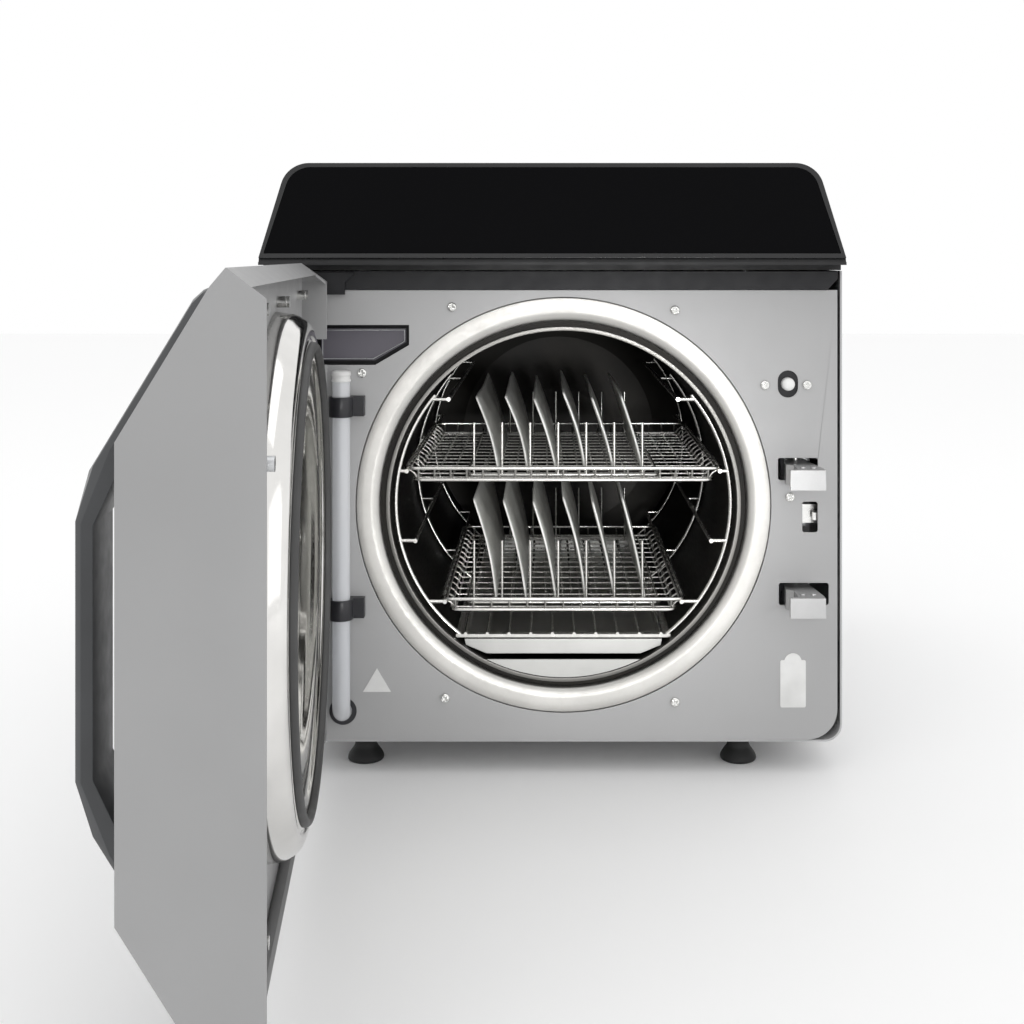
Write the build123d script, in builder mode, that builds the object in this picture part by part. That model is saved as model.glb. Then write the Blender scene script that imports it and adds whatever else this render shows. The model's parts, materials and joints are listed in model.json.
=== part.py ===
"""Benchtop steam steriliser with its door swung open, as separate pieces in millimetres.

Frame: +X to the machine's right, +Y towards its back, +Z up. The origin is the centre of the
four feet on the bench. The hinged door stands open at DOOR_OPEN degrees.
"""

import os
from math import cos, radians, sin

from build123d import *

os.makedirs("parts", exist_ok=True)

# ---- driving dimensions -------------------------------------------------------------------
CASE_HALF = 233.0  # half width of the painted case
CASE_BOTTOM = 25.5
CASE_TOP = 484.0
FRONT_Y = -265.0  # face of the front panel
BACK_Y = 262.0
SHEET = 1.5

PANEL_HALF = 229.0
PANEL_BOTTOM = 27.5
PANEL_TOP = 388.6
PANEL_CORNER = 24.0

CHAMBER_X = 9.0
CHAMBER_Z = 216.0
CHAMBER_R = 139.7  # an 11 inch chamber
CHAMBER_WALL = 3.3
CHAMBER_DEPTH = 457.0  # 18 inches
MOUTH_R = 167.0  # opening of the front panel around the chamber

CONSOLE_FRONT = -283.0
CONSOLE_BACK = -176.0
LIP_BOTTOM = 408.8
LIP_TOP = 414.3
CONSOLE_TOP = 491.5
CONSOLE_TILT = 27.0  # how far the fascia's top edge lies behind its lip
FASCIA_TOP_HALF = 214.5
FASCIA_BOTTOM_HALF = 232.5

HINGE_X = -204.6
HINGE_Y = -298.8
DOOR_OPEN = 84.54
DOOR_WIDTH = 443.0
HINGE_MARGIN = 16.2  # from the hinge axis to the hinge side wall
RIM_TO_HINGE = 27.8  # from the rim plane out to the hinge axis
DOOR_SHEET = 1.6
RIM_HALF = 179.6
RIDGE_HALF = 194.5
RIDGE_OUT = 19.0
BREAK_HALF = 185.6
BREAK_OUT = 26.4
FACE_HALF = 112.8
FACE_OUT = 70.0
FLANGE_HALF = 185.0  # where the sloping top and bottom flanges end
PLATE_OUT = 17.0  # inner plate of the door, out from the rim plane

HOOK_X = 199.0
HOOK_Z = (142.0, 241.5)
HOOK_SHAFT_Y = -243.0
HOOK_REACH = 32.0  # in front of the panel

FOOT_X = 154.0
FOOT_Y = 230.0


LID_HINGE_Y = 164.0


# ---- frames that several pieces share -----------------------------------------------------
DOOR_ACROSS = Vector(cos(radians(DOOR_OPEN)), -sin(radians(DOOR_OPEN)), 0)
DOOR_OUTWARD = Vector(-sin(radians(DOOR_OPEN)), -cos(radians(DOOR_OPEN)), 0)
DOOR_ORIGIN = Vector(HINGE_X, HINGE_Y, CHAMBER_Z) - DOOR_OUTWARD * RIM_TO_HINGE
# Local x runs from the hinge axis to the free edge, y runs up, z runs out of the rim plane.
DOOR = Plane(origin=DOOR_ORIGIN, x_dir=DOOR_ACROSS, z_dir=DOOR_OUTWARD)
DOOR_LEFT = -HINGE_MARGIN
DOOR_RIGHT = DOOR_WIDTH - HINGE_MARGIN
RING_U = CHAMBER_X - HINGE_X  # chamber axis, measured across the closed door
RING_CENTRE = DOOR.from_local_coords(Vector(RING_U, 0, 0))
RING_PLANE = Plane(origin=RING_CENTRE, x_dir=DOOR_ACROSS, z_dir=(0, 0, -1))
RING_AXIS = Axis(RING_CENTRE, DOOR_OUTWARD)

CHAMBER_PLANE = Plane(origin=(CHAMBER_X, FRONT_Y, CHAMBER_Z), x_dir=(1, 0, 0), z_dir=(0, 0, 1))
CHAMBER_AXIS = Axis((CHAMBER_X, FRONT_Y, CHAMBER_Z), (0, 1, 0))
# Local x is the machine's X measured from the chamber axis, local y is up from that axis.
PANEL_FRONT = Plane(origin=(0, FRONT_Y, 0), x_dir=(1, 0, 0), z_dir=(0, -1, 0))
FASCIA = Plane(
    origin=(0, CONSOLE_FRONT, LIP_TOP),
    x_dir=(1, 0, 0),
    z_dir=(0, LIP_TOP - CONSOLE_TOP, CONSOLE_TILT),
)


def door_section(across):
    """Plane across the door at a distance from the hinge axis: x runs outwards, y up."""
    at = DOOR.from_local_coords(Vector(across, 0, 0))
    return Plane(origin=at, x_dir=DOOR_OUTWARD, z_dir=DOOR_ACROSS * -1)


def from_front(distance):
    """Plane parallel to the front panel, a distance in front of its face."""
    return PANEL_FRONT.offset(distance)


def mirrored_outline(points):
    """The points, then their mirror image below the local x axis in reverse order."""
    return points + [(x, -y) for x, y in reversed(points)]


# ---- case ---------------------------------------------------------------------------------
CASE_LENGTH = BACK_Y - FRONT_Y - 2 * SHEET
with BuildPart() as case_wrap:
    with BuildSketch(from_front(-SHEET)):
        with Locations((0, (CASE_BOTTOM + CASE_TOP) / 2)):
            RectangleRounded(2 * CASE_HALF, CASE_TOP - CASE_BOTTOM, 14)
    extrude(amount=-CASE_LENGTH)
    with BuildSketch(from_front(-SHEET)):
        with Locations((0, (CASE_BOTTOM + CASE_TOP) / 2)):
            RectangleRounded(2 * (CASE_HALF - SHEET), CASE_TOP - CASE_BOTTOM - 2 * SHEET, 12.5)
    extrude(amount=-CASE_LENGTH, mode=Mode.SUBTRACT)
    # The console sits in a notch at the top front.
    with BuildSketch(Plane.XY.offset(404)):
        with Locations((0, (FRONT_Y + CONSOLE_BACK) / 2)):
            Rectangle(2 * CASE_HALF + 2, CONSOLE_BACK - FRONT_Y)
    extrude(amount=100, mode=Mode.SUBTRACT)
    # Fill opening over the reservoir.
    with BuildSketch(Plane.XY.offset(CASE_TOP - 5)):
        with Locations((-65, 110)):
            RectangleRounded(112, 92, 8)
    extrude(amount=10, mode=Mode.SUBTRACT)
    # The levelling feet screw up through the bottom sheet.
    with BuildSketch(Plane.XY.offset(CASE_BOTTOM - 1)):
        with GridLocations(2 * FOOT_X, 2 * FOOT_Y, 2, 2):
            Circle(4.3)
    extrude(amount=5, mode=Mode.SUBTRACT)
    # Louvres low on both sides.
    with BuildSketch(Plane.YZ.offset(-CASE_HALF - 1)):
        with Locations((130, 110)):
            with GridLocations(14, 0, 8, 1):
                SlotOverall(60, 5, rotation=90)
    extrude(amount=2 * CASE_HALF + 2, mode=Mode.SUBTRACT)
    # Ears on top for the fill lid.
    for ear_x in (-123, -13):
        with BuildSketch(Plane.YZ.offset(ear_x)):
            with Locations((LID_HINGE_Y, CASE_TOP + 4)):
                Circle(3.2)
            with Locations((LID_HINGE_Y, CASE_TOP + 2.2)):
                Rectangle(6.4, 4.4)
        extrude(amount=6)
case_wrap.part.label = "case_wrap"
export_step(case_wrap.part, "parts/case_wrap.step")

with BuildPart() as base_pan:
    with BuildSketch(Plane.XY.offset(CASE_BOTTOM + SHEET)):
        Rectangle(2 * CASE_HALF - 34, 500)
        with GridLocations(2 * FOOT_X, 2 * FOOT_Y, 2, 2):
            Circle(4.3, mode=Mode.SUBTRACT)
    extrude(amount=2)
    with BuildSketch(Plane.XY.offset(CASE_BOTTOM + SHEET + 2)):
        with GridLocations(2 * CASE_HALF - 36, 0, 2, 1):
            Rectangle(2, 500)
    extrude(amount=16)
base_pan.part.label = "base_pan"
export_step(base_pan.part, "parts/base_pan.step")

with BuildPart() as feet:
    with Locations((0, 0, 0)):
        with GridLocations(2 * FOOT_X, 2 * FOOT_Y, 2, 2):
            Cone(15, 11, 9, align=(Align.CENTER, Align.CENTER, Align.MIN))
    with Locations((0, 0, 9)):
        with GridLocations(2 * FOOT_X, 2 * FOOT_Y, 2, 2):
            Cylinder(9.5, 7, align=(Align.CENTER, Align.CENTER, Align.MIN))
    with Locations((0, 0, 16)):
        with GridLocations(2 * FOOT_X, 2 * FOOT_Y, 2, 2):
            Cone(9.5, 11.5, 9.2, align=(Align.CENTER, Align.CENTER, Align.MIN))
    with Locations((0, 0, 25.2)):
        with GridLocations(2 * FOOT_X, 2 * FOOT_Y, 2, 2):
            Cylinder(4, 10, align=(Align.CENTER, Align.CENTER, Align.MIN))
feet.part.label = "feet"
export_step(feet.part, "parts/feet.step")

# ---- front panel --------------------------------------------------------------------------
BUTTON_AT = (189.3, 313.1)
LOCK_AT = (207.0, 206.3)
TUBE_X = -168.0
GROMMET_Z = 50.6
RECESS_OUTLINE = [(-190, 360.5), (-115, 360.5), (-115, 344.4), (-142.3, 328.4), (-190, 328.4)]
UPPER_SLOT = (197.3, 244.8, 32.0, 17.8)  # centre x, centre z, width, height
LOWER_SLOT = (202.0, 144.5, 40.0, 17.8)

with BuildPart() as front_panel:
    with BuildSketch(from_front(0)):
        with Locations((0, (PANEL_BOTTOM + PANEL_TOP) / 2)):
            RectangleRounded(2 * PANEL_HALF, PANEL_TOP - PANEL_BOTTOM, PANEL_CORNER)
        # Only the two bottom corners are round.
        with Locations((0, PANEL_TOP - 20)):
            Rectangle(2 * PANEL_HALF, 40)
        with Locations((CHAMBER_X, CHAMBER_Z)):
            Circle(MOUTH_R, mode=Mode.SUBTRACT)
        for slot_x, slot_z, slot_width, slot_height in (UPPER_SLOT, LOWER_SLOT):
            with Locations((slot_x, slot_z)):
                RectangleRounded(slot_width, slot_height, 2, mode=Mode.SUBTRACT)
        with Locations(LOCK_AT):
            RectangleRounded(12.4, 24.6, 2, mode=Mode.SUBTRACT)
        with Locations(BUTTON_AT):
            SlotOverall(21.8, 16.2, rotation=90, mode=Mode.SUBTRACT)
        with Locations((TUBE_X, GROMMET_Z)):
            Circle(9.0, mode=Mode.SUBTRACT)
        with BuildLine():
            Polyline(*RECESS_OUTLINE, close=True)
        make_face(mode=Mode.SUBTRACT)
    extrude(amount=-SHEET)
front_panel.part.label = "front_panel"
export_step(front_panel.part, "parts/front_panel.step")

PANEL_SCREWS = [
    (-80.5, 375.0),
    (98.6, 372.5),
    (-86.1, 61.0),
    (98.6, 57.8),
    (170.8, 312.3),
    (204.6, 312.3),
    (190.9, 222.4),
    (-152.7, 322.0),
]
with BuildPart() as panel_screws:
    with BuildSketch(from_front(0)):
        with Locations(*PANEL_SCREWS):
            Circle(3.8)
    extrude(amount=2.4)
    chamfer(panel_screws.faces().filter_by(Axis.Y).group_by(Axis.Y)[0].edges(), 1.1)
    with BuildSketch(from_front(2.4)):
        with Locations(*PANEL_SCREWS):
            Rectangle(4, 0.9)
            Rectangle(0.9, 4)
    extrude(amount=-1.2, mode=Mode.SUBTRACT)
panel_screws.part.label = "panel_screws"
export_step(panel_screws.part, "parts/panel_screws.step")

# Sheet pocket behind the clipped-corner opening, with a dark plate held off its floor.
with BuildPart() as recess_pan:
    with BuildSketch(from_front(-SHEET)):
        with BuildLine():
            Polyline(*RECESS_OUTLINE, close=True)
        make_face()
        offset(amount=2)
    extrude(amount=-14)
    with BuildSketch(from_front(-SHEET)):
        with BuildLine():
            Polyline(*RECESS_OUTLINE, close=True)
        make_face()
    extrude(amount=-12.5, mode=Mode.SUBTRACT)
recess_pan.part.label = "recess_pan"
export_step(recess_pan.part, "parts/recess_pan.step")

with BuildPart() as recess_plate:
    with BuildSketch(from_front(-8)):
        with BuildLine():
            Polyline(*RECESS_OUTLINE, close=True)
        make_face()
        offset(amount=-3.2)
    extrude(amount=-2)
    with BuildSketch(from_front(-10)):
        with GridLocations(30, 0, 2, 1):
            with Locations((-160, 343)):
                Circle(3)
    extrude(amount=-4)
recess_plate.part.label = "recess_plate"
export_step(recess_plate.part, "parts/recess_plate.step")

with BuildPart() as label_plates:
    with BuildSketch(from_front(0)):
        with Locations((193.3, 72.5)):
            RectangleRounded(20.5, 38, 1.5)
        with Locations((193.3, 90)):
            Circle(7)
        with BuildLine():
            Polyline((-152, 66), (-129.5, 66), (-140.7, 85), close=True)
        make_face()
    extrude(amount=0.5)
label_plates.part.label = "label_plates"
export_step(label_plates.part, "parts/label_plates.step")

# ---- drain tube on the front panel --------------------------------------------------------
TUBE_R = 7.2
TUBE_WALL = 1.8
TUBE_OUT = 10.0
TUBE_TOP = 316.0
TUBE_BEND = 9.5
with BuildPart() as drain_tube:
    with BuildSketch(Plane.XY.offset(TUBE_TOP)):
        with Locations((TUBE_X, FRONT_Y - TUBE_OUT)):
            Circle(TUBE_R)
            Circle(TUBE_R - TUBE_WALL, mode=Mode.SUBTRACT)
    extrude(amount=GROMMET_Z + TUBE_BEND - TUBE_TOP)
    with BuildSketch(Plane.XY.offset(GROMMET_Z + TUBE_BEND)):
        with Locations((TUBE_X, FRONT_Y - TUBE_OUT)):
            Circle(TUBE_R)
            Circle(TUBE_R - TUBE_WALL, mode=Mode.SUBTRACT)
    revolve(
        axis=Axis((TUBE_X, FRONT_Y - TUBE_OUT + TUBE_BEND, GROMMET_Z + TUBE_BEND), (1, 0, 0)),
        revolution_arc=90,
    )
    with BuildSketch(from_front(TUBE_OUT - TUBE_BEND)):
        with Locations((TUBE_X, GROMMET_Z)):
            Circle(TUBE_R)
            Circle(TUBE_R - TUBE_WALL, mode=Mode.SUBTRACT)
    extrude(amount=-16)
drain_tube.part.label = "drain_tube"
export_step(drain_tube.part, "parts/drain_tube.step")

CLIP_Z = (296.0, 135.0)
with BuildPart() as tube_clips:
    for clip_z in CLIP_Z:
        with BuildSketch(Plane.XY.offset(clip_z - 8)):
            with Locations((TUBE_X, FRONT_Y - TUBE_OUT)):
                Circle(TUBE_R + 2.4)
            with Locations((TUBE_X + 8, FRONT_Y - 4)):
                Rectangle(20, 8)
            with Locations((TUBE_X, FRONT_Y - TUBE_OUT)):
                Circle(TUBE_R + 0.02, mode=Mode.SUBTRACT)
            with Locations((TUBE_X, FRONT_Y + 10)):
                Rectangle(60, 20, mode=Mode.SUBTRACT)
        extrude(amount=16)
    # Grommet where the tube enters the panel.
    with BuildSketch(from_front(0)):
        with Locations((TUBE_X, GROMMET_Z)):
            Circle(11)
            Circle(TUBE_R + 0.05, mode=Mode.SUBTRACT)
    extrude(amount=0.4)
    with BuildSketch(from_front(0)):
        with Locations((TUBE_X, GROMMET_Z)):
            Circle(8.95)
            Circle(TUBE_R + 0.05, mode=Mode.SUBTRACT)
    extrude(amount=-3)
tube_clips.part.label = "tube_clips"
export_step(tube_clips.part, "parts/tube_clips.step")

with BuildPart() as tube_fitting:
    with BuildSketch(Plane.XY.offset(TUBE_TOP)):
        with Locations((TUBE_X, FRONT_Y - TUBE_OUT)):
            Circle(TUBE_R + 0.6)
    extrude(amount=9)
    chamfer(tube_fitting.faces().sort_by(Axis.Z)[-1].edges(), 1.2)
    with BuildSketch(Plane.XY.offset(TUBE_TOP + 1)):
        with Locations((TUBE_X, FRONT_Y - 3)):
            Rectangle(8, 6)
    extrude(amount=6)
tube_fitting.part.label = "tube_fitting"
export_step(tube_fitting.part, "parts/tube_fitting.step")

# ---- console ------------------------------------------------------------------------------
FASCIA_HEIGHT = ((CONSOLE_TOP - LIP_TOP) ** 2 + CONSOLE_TILT**2) ** 0.5
GLASS = 2.6
CORNER_DROP = 22.0
with BuildPart() as console_housing:
    with BuildSketch(Plane.YZ.offset(-FASCIA_BOTTOM_HALF)):
        with BuildLine():
            Polyline(
                (CONSOLE_FRONT, LIP_BOTTOM),
                (CONSOLE_FRONT, LIP_TOP),
                (CONSOLE_FRONT + CONSOLE_TILT + 3.0, CONSOLE_TOP - 0.5),
                (CONSOLE_FRONT + CONSOLE_TILT + 12.0, CONSOLE_TOP),
                (CONSOLE_BACK - 0.5, CASE_TOP + 2),
                (CONSOLE_BACK - 0.5, 404.5),
                (FRONT_Y + 3, 404.5),
                (FRONT_Y + 3, LIP_BOTTOM),
                close=True,
            )
        make_face()
    extrude(amount=2 * FASCIA_BOTTOM_HALF)
    # Hollow from below and behind.
    with BuildSketch(Plane.YZ.offset(-FASCIA_BOTTOM_HALF + 22)):
        with BuildLine():
            Polyline(
                (CONSOLE_FRONT + 12, LIP_TOP + 4),
                (CONSOLE_FRONT + CONSOLE_TILT + 12, CONSOLE_TOP - 8),
                (CONSOLE_BACK + 1, CASE_TOP - 4),
                (CONSOLE_BACK + 1, LIP_TOP + 4),
                close=True,
            )
        make_face()
    extrude(amount=2 * FASCIA_BOTTOM_HALF - 44, mode=Mode.SUBTRACT)
    # Both ends lean in towards the top.
    for side in (-1, 1):
        with BuildSketch(from_front(40)):
            with BuildLine():
                Polyline(
                    (side * FASCIA_BOTTOM_HALF, LIP_TOP),
                    (side * FASCIA_TOP_HALF, CONSOLE_TOP),
                    (side * FASCIA_TOP_HALF, CONSOLE_TOP + 20),
                    (side * (FASCIA_BOTTOM_HALF + 20), CONSOLE_TOP + 20),
                    (side * (FASCIA_BOTTOM_HALF + 20), LIP_TOP),
                    close=True,
                )
            make_face()
        extrude(amount=-160, mode=Mode.SUBTRACT)
    # A shallow seat for the frame and the glass.
    with BuildSketch(FASCIA):
        with Locations((0, FASCIA_HEIGHT / 2)):
            Rectangle(2 * FASCIA_BOTTOM_HALF + 4, FASCIA_HEIGHT + 6)
    extrude(amount=-GLASS, mode=Mode.SUBTRACT)
    # Round the top corners.
    corner_z = CONSOLE_TOP - CORNER_DROP
    corner_half = FASCIA_TOP_HALF + (FASCIA_BOTTOM_HALF - FASCIA_TOP_HALF) * CORNER_DROP / (
        CONSOLE_TOP - LIP_TOP
    )
    for side in (-1, 1):
        with BuildSketch(from_front(40)):
            with BuildLine():
                ThreePointArc(
                    (side * (FASCIA_TOP_HALF - 23), CONSOLE_TOP),
                    (side * (FASCIA_TOP_HALF - 4.5), CONSOLE_TOP - 5.5),
                    (side * corner_half, corner_z),
                )
                Polyline(
                    (side * corner_half, corner_z),
                    (side * (FASCIA_BOTTOM_HALF + 20), corner_z),
                    (side * (FASCIA_BOTTOM_HALF + 20), CONSOLE_TOP + 20),
                    (side * (FASCIA_TOP_HALF - 23), CONSOLE_TOP + 20),
                    (side * (FASCIA_TOP_HALF - 23), CONSOLE_TOP),
                )
            make_face()
        extrude(amount=-160, mode=Mode.SUBTRACT)
console_housing.part.label = "console_housing"
export_step(console_housing.part, "parts/console_housing.step")


def fascia_outline(inset):
    """Corner points of the fascia on its own plane, moved in by an inset."""
    bottom = FASCIA_BOTTOM_HALF - inset
    top = FASCIA_TOP_HALF - inset
    height = FASCIA_HEIGHT - inset
    return [(-bottom, inset), (bottom, inset), (top, height), (-top, height)]


with BuildPart() as fascia_frame:
    with BuildSketch(FASCIA) as frame_outline:
        with BuildLine():
            Polyline(*fascia_outline(0.0), close=True)
        make_face()
        fillet(frame_outline.vertices().group_by(Axis.Y)[-1], 22)
    extrude(amount=-GLASS)
    with BuildSketch(FASCIA) as frame_opening:
        with BuildLine():
            Polyline(*fascia_outline(4.0), close=True)
        make_face()
        fillet(frame_opening.vertices().group_by(Axis.Y)[-1], 19)
    extrude(amount=-GLASS, mode=Mode.SUBTRACT)
fascia_frame.part.label = "fascia_frame"
export_step(fascia_frame.part, "parts/fascia_frame.step")

with BuildPart() as fascia_glass:
    with BuildSketch(FASCIA.offset(-0.3)) as glass_outline:
        with BuildLine():
            Polyline(*fascia_outline(4.2), close=True)
        make_face()
        fillet(glass_outline.vertices().group_by(Axis.Y)[-1], 18.8)
    extrude(amount=-GLASS + 0.3)
fascia_glass.part.label = "fascia_glass"
export_step(fascia_glass.part, "parts/fascia_glass.step")

# Dark band in the shadow between the lip and the panel.
with BuildPart() as seal_band:
    with BuildSketch(from_front(-SHEET - 0.5)):
        with BuildLine():
            Polyline(
                (-PANEL_HALF, PANEL_TOP + 0.4),
                (PANEL_HALF - 8, PANEL_TOP + 0.4),
                (PANEL_HALF, PANEL_TOP + 9),
                (PANEL_HALF, 403.5),
                (-PANEL_HALF, 403.5),
                close=True,
            )
        make_face()
    extrude(amount=3.5)
    # Cover over the top hinge.
    with BuildSketch(from_front(1.6)):
        with BuildLine():
            Polyline((-190, 385), (-166, 385), (-166, 402.5), (-190, 402.5), close=True)
        make_face()
        with BuildLine():
            Polyline((-166, 395), (-158, 402.5), (-166, 402.5), close=True)
        make_face()
    extrude(amount=3)
seal_band.part.label = "seal_band"
export_step(seal_band.part, "parts/seal_band.step")

# ---- chamber ------------------------------------------------------------------------------
CHAMBER_OUT = CHAMBER_R + CHAMBER_WALL
LIP_DEPTH = 3.0
REAR_DEPTH = LIP_DEPTH + CHAMBER_DEPTH
with BuildPart() as chamber:
    with BuildSketch(CHAMBER_PLANE):
        with BuildLine():
            Polyline(
                (0, LIP_DEPTH),
                (CHAMBER_OUT, LIP_DEPTH),
                (CHAMBER_OUT, 9),
                (164, 9),
                (164, 15),
                (CHAMBER_OUT, 15),
                (CHAMBER_OUT, REAR_DEPTH + 2),
                (110, REAR_DEPTH + 11),
                (50, REAR_DEPTH + 17),
                (0, REAR_DEPTH + 18),
                close=True,
            )
        make_face()
    revolve(axis=CHAMBER_AXIS)
    with BuildSketch(CHAMBER_PLANE):
        with BuildLine():
            Polyline(
                (0, LIP_DEPTH - 1),
                (CHAMBER_R, LIP_DEPTH - 1),
                (CHAMBER_R, REAR_DEPTH - 2),
                (108, REAR_DEPTH + 7),
                (50, REAR_DEPTH + 13),
                (0, REAR_DEPTH + 14),
                close=True,
            )
        make_face()
    revolve(axis=CHAMBER_AXIS, mode=Mode.SUBTRACT)
chamber.part.label = "chamber"
export_step(chamber.part, "parts/chamber.step")

# Bright ring that slopes in from the panel opening to the chamber lip.
with BuildPart() as mouth_ring:
    with BuildSketch(CHAMBER_PLANE):
        with BuildLine():
            Polyline(
                (MOUTH_R - 0.5, 0.6),
                (157, 0.9),
                (149.5, 3.4),
                (147, 6.0),
                (147, 8.6),
                (163, 8.6),
                (163, 3.0),
                (MOUTH_R - 0.5, 2.2),
                close=True,
            )
        make_face()
    revolve(axis=CHAMBER_AXIS)
mouth_ring.part.label = "mouth_ring"
export_step(mouth_ring.part, "parts/mouth_ring.step")

with BuildPart() as insulation:
    with BuildSketch(CHAMBER_PLANE):
        with Locations((159.5, 245)):
            Rectangle(25, 420)
    revolve(axis=CHAMBER_AXIS)
insulation.part.label = "insulation"
export_step(insulation.part, "parts/insulation.step")

with BuildPart() as heater_bands:
    with BuildSketch(CHAMBER_PLANE):
        with Locations((CHAMBER_OUT + 1.7, 110), (CHAMBER_OUT + 1.7, 250), (CHAMBER_OUT + 1.7, 390)):
            Rectangle(3.2, 45)
    revolve(axis=CHAMBER_AXIS)
heater_bands.part.label = "heater_bands"
export_step(heater_bands.part, "parts/heater_bands.step")

with BuildPart() as saddles:
    for saddle_depth in (90, 380):
        with BuildSketch(from_front(-saddle_depth)):
            with Locations((CHAMBER_X, 59)):
                Rectangle(240, 60)
            with Locations((CHAMBER_X, CHAMBER_Z)):
                Circle(172.3, mode=Mode.SUBTRACT)
        extrude(amount=-6)
saddles.part.label = "saddles"
export_step(saddles.part, "parts/saddles.step")

SILL_TOP = 91.0
with BuildPart() as sill_plate:
    with BuildSketch(from_front(-LIP_DEPTH - 0.4)):
        with Locations((CHAMBER_X, CHAMBER_Z)):
            Circle(CHAMBER_R - 0.3)
        with Locations((CHAMBER_X, SILL_TOP + 160)):
            Rectangle(320, 320, mode=Mode.SUBTRACT)
    extrude(amount=-1.5)
sill_plate.part.label = "sill_plate"
export_step(sill_plate.part, "parts/sill_plate.step")

# ---- rack, baskets and tray inside the chamber ---------------------------------------------
WIRE_R = 1.75
HOOP_R = 136.0
HOOP_TOP = 40.0  # degrees above the horizontal
HOOP_BOTTOM = -52.0
HOOP_DEPTHS = (12.0, 205.0, 400.0)
RACK_START = 10.0
RACK_LENGTH = 392.0
# Half width and height above the chamber axis of each pair of rails.
RAILS = [(93.0, 83.7), (127.0, 25.5), (120.0, -31.0), (96.0, -80.3)]
SHELF_Z = 107.0
SHELF_HALF = 87.0


def hoop_plane(angle):
    """Plane through the chamber axis: x points outwards at an angle, y runs backwards."""
    turn = radians(angle)
    return Plane(
        origin=(CHAMBER_X, FRONT_Y, CHAMBER_Z),
        x_dir=(cos(turn), 0, sin(turn)),
        z_dir=(-sin(turn), 0, cos(turn)),
    )


with BuildPart() as chamber_rack:
    for start_angle in (HOOP_TOP, 180 - HOOP_BOTTOM):
        with BuildSketch(hoop_plane(start_angle)):
            for hoop_depth in HOOP_DEPTHS:
                with Locations((HOOP_R, hoop_depth)):
                    Circle(WIRE_R)
        revolve(axis=CHAMBER_AXIS, revolution_arc=HOOP_TOP - HOOP_BOTTOM)
    with BuildSketch(from_front(-RACK_START)):
        for rail_half, rail_height in RAILS:
            for side in (-1, 1):
                with Locations((CHAMBER_X + side * rail_half, CHAMBER_Z + rail_height)):
                    Circle(WIRE_R)
    extrude(amount=-RACK_LENGTH)
    # Short tabs carry each rail from the hoops.
    for rail_half, rail_height in RAILS:
        tab_end = (HOOP_R**2 - rail_height**2) ** 0.5
        for side in (-1, 1):
            tab_from = CHAMBER_X + side * rail_half
            with BuildSketch(Plane.YZ.offset(tab_from)):
                for hoop_depth in HOOP_DEPTHS:
                    with Locations((FRONT_Y + hoop_depth, CHAMBER_Z + rail_height)):
                        Circle(WIRE_R - 0.15)
            extrude(amount=side * (tab_end - rail_half))
    # Bottom shelf: a flat frame with wires from front to back.
    with BuildSketch(Plane.XY.offset(SHELF_Z)):
        with Locations((CHAMBER_X, FRONT_Y + RACK_START + RACK_LENGTH / 2)):
            Rectangle(2 * SHELF_HALF, RACK_LENGTH)
            Rectangle(2 * SHELF_HALF - 12, RACK_LENGTH - 14, mode=Mode.SUBTRACT)
    extrude(amount=2.5)
    with BuildSketch(from_front(-RACK_START)):
        with Locations((CHAMBER_X, SHELF_Z + 2.8)):
            with GridLocations(17.6, 0, 10, 1):
                Circle(1.3)
    extrude(amount=-RACK_LENGTH)
chamber_rack.part.label = "chamber_rack"
export_step(chamber_rack.part, "parts/chamber_rack.step")

BASKET_FRONT = -256.0
BASKET_DEPTH = 300.0
BASKET_WALL = 1.6
BASKET_MID = BASKET_FRONT + BASKET_DEPTH / 2
UPPER_FLOOR = 232.8
UPPER_HALF = 121.5
UPPER_RIM = 245.4
LOWER_FLOOR = 127.5
LOWER_HALF = 91.5
LOWER_RIM = 139.4
RIM_WIDTH = 8.5


def basket_solid(half, floor, rim):
    """Makes an open tray with a rim flange on both long sides."""
    with BuildPart() as basket:
        with BuildSketch(Plane.XY.offset(floor)):
            with Locations((CHAMBER_X, BASKET_MID)):
                Rectangle(2 * half, BASKET_DEPTH)
        extrude(amount=rim - floor)
        with BuildSketch(Plane.XY.offset(rim - 1.4)):
            with Locations((CHAMBER_X, BASKET_MID)):
                Rectangle(2 * (half + RIM_WIDTH), BASKET_DEPTH)
        extrude(amount=1.4)
        with BuildSketch(Plane.XY.offset(floor + BASKET_WALL)):
            with Locations((CHAMBER_X, BASKET_MID)):
                Rectangle(2 * (half - BASKET_WALL), BASKET_DEPTH - 2 * BASKET_WALL)
        extrude(amount=rim - floor, mode=Mode.SUBTRACT)
    return basket


upper_basket = basket_solid(UPPER_HALF, UPPER_FLOOR, UPPER_RIM)
upper_basket.part.label = "upper_basket"
export_step(upper_basket.part, "parts/upper_basket.step")

lower_basket = basket_solid(LOWER_HALF, LOWER_FLOOR, LOWER_RIM)
lower_basket.part.label = "lower_basket"
export_step(lower_basket.part, "parts/lower_basket.step")

DIVIDER_R = 1.2
DIVIDER_PITCH = 25.0
DIVIDER_COUNT = 7
DIVIDER_LENGTH = 258.0
POUCH_DEPTH = 246.0
POUCH_THICK = 4.5


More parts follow.
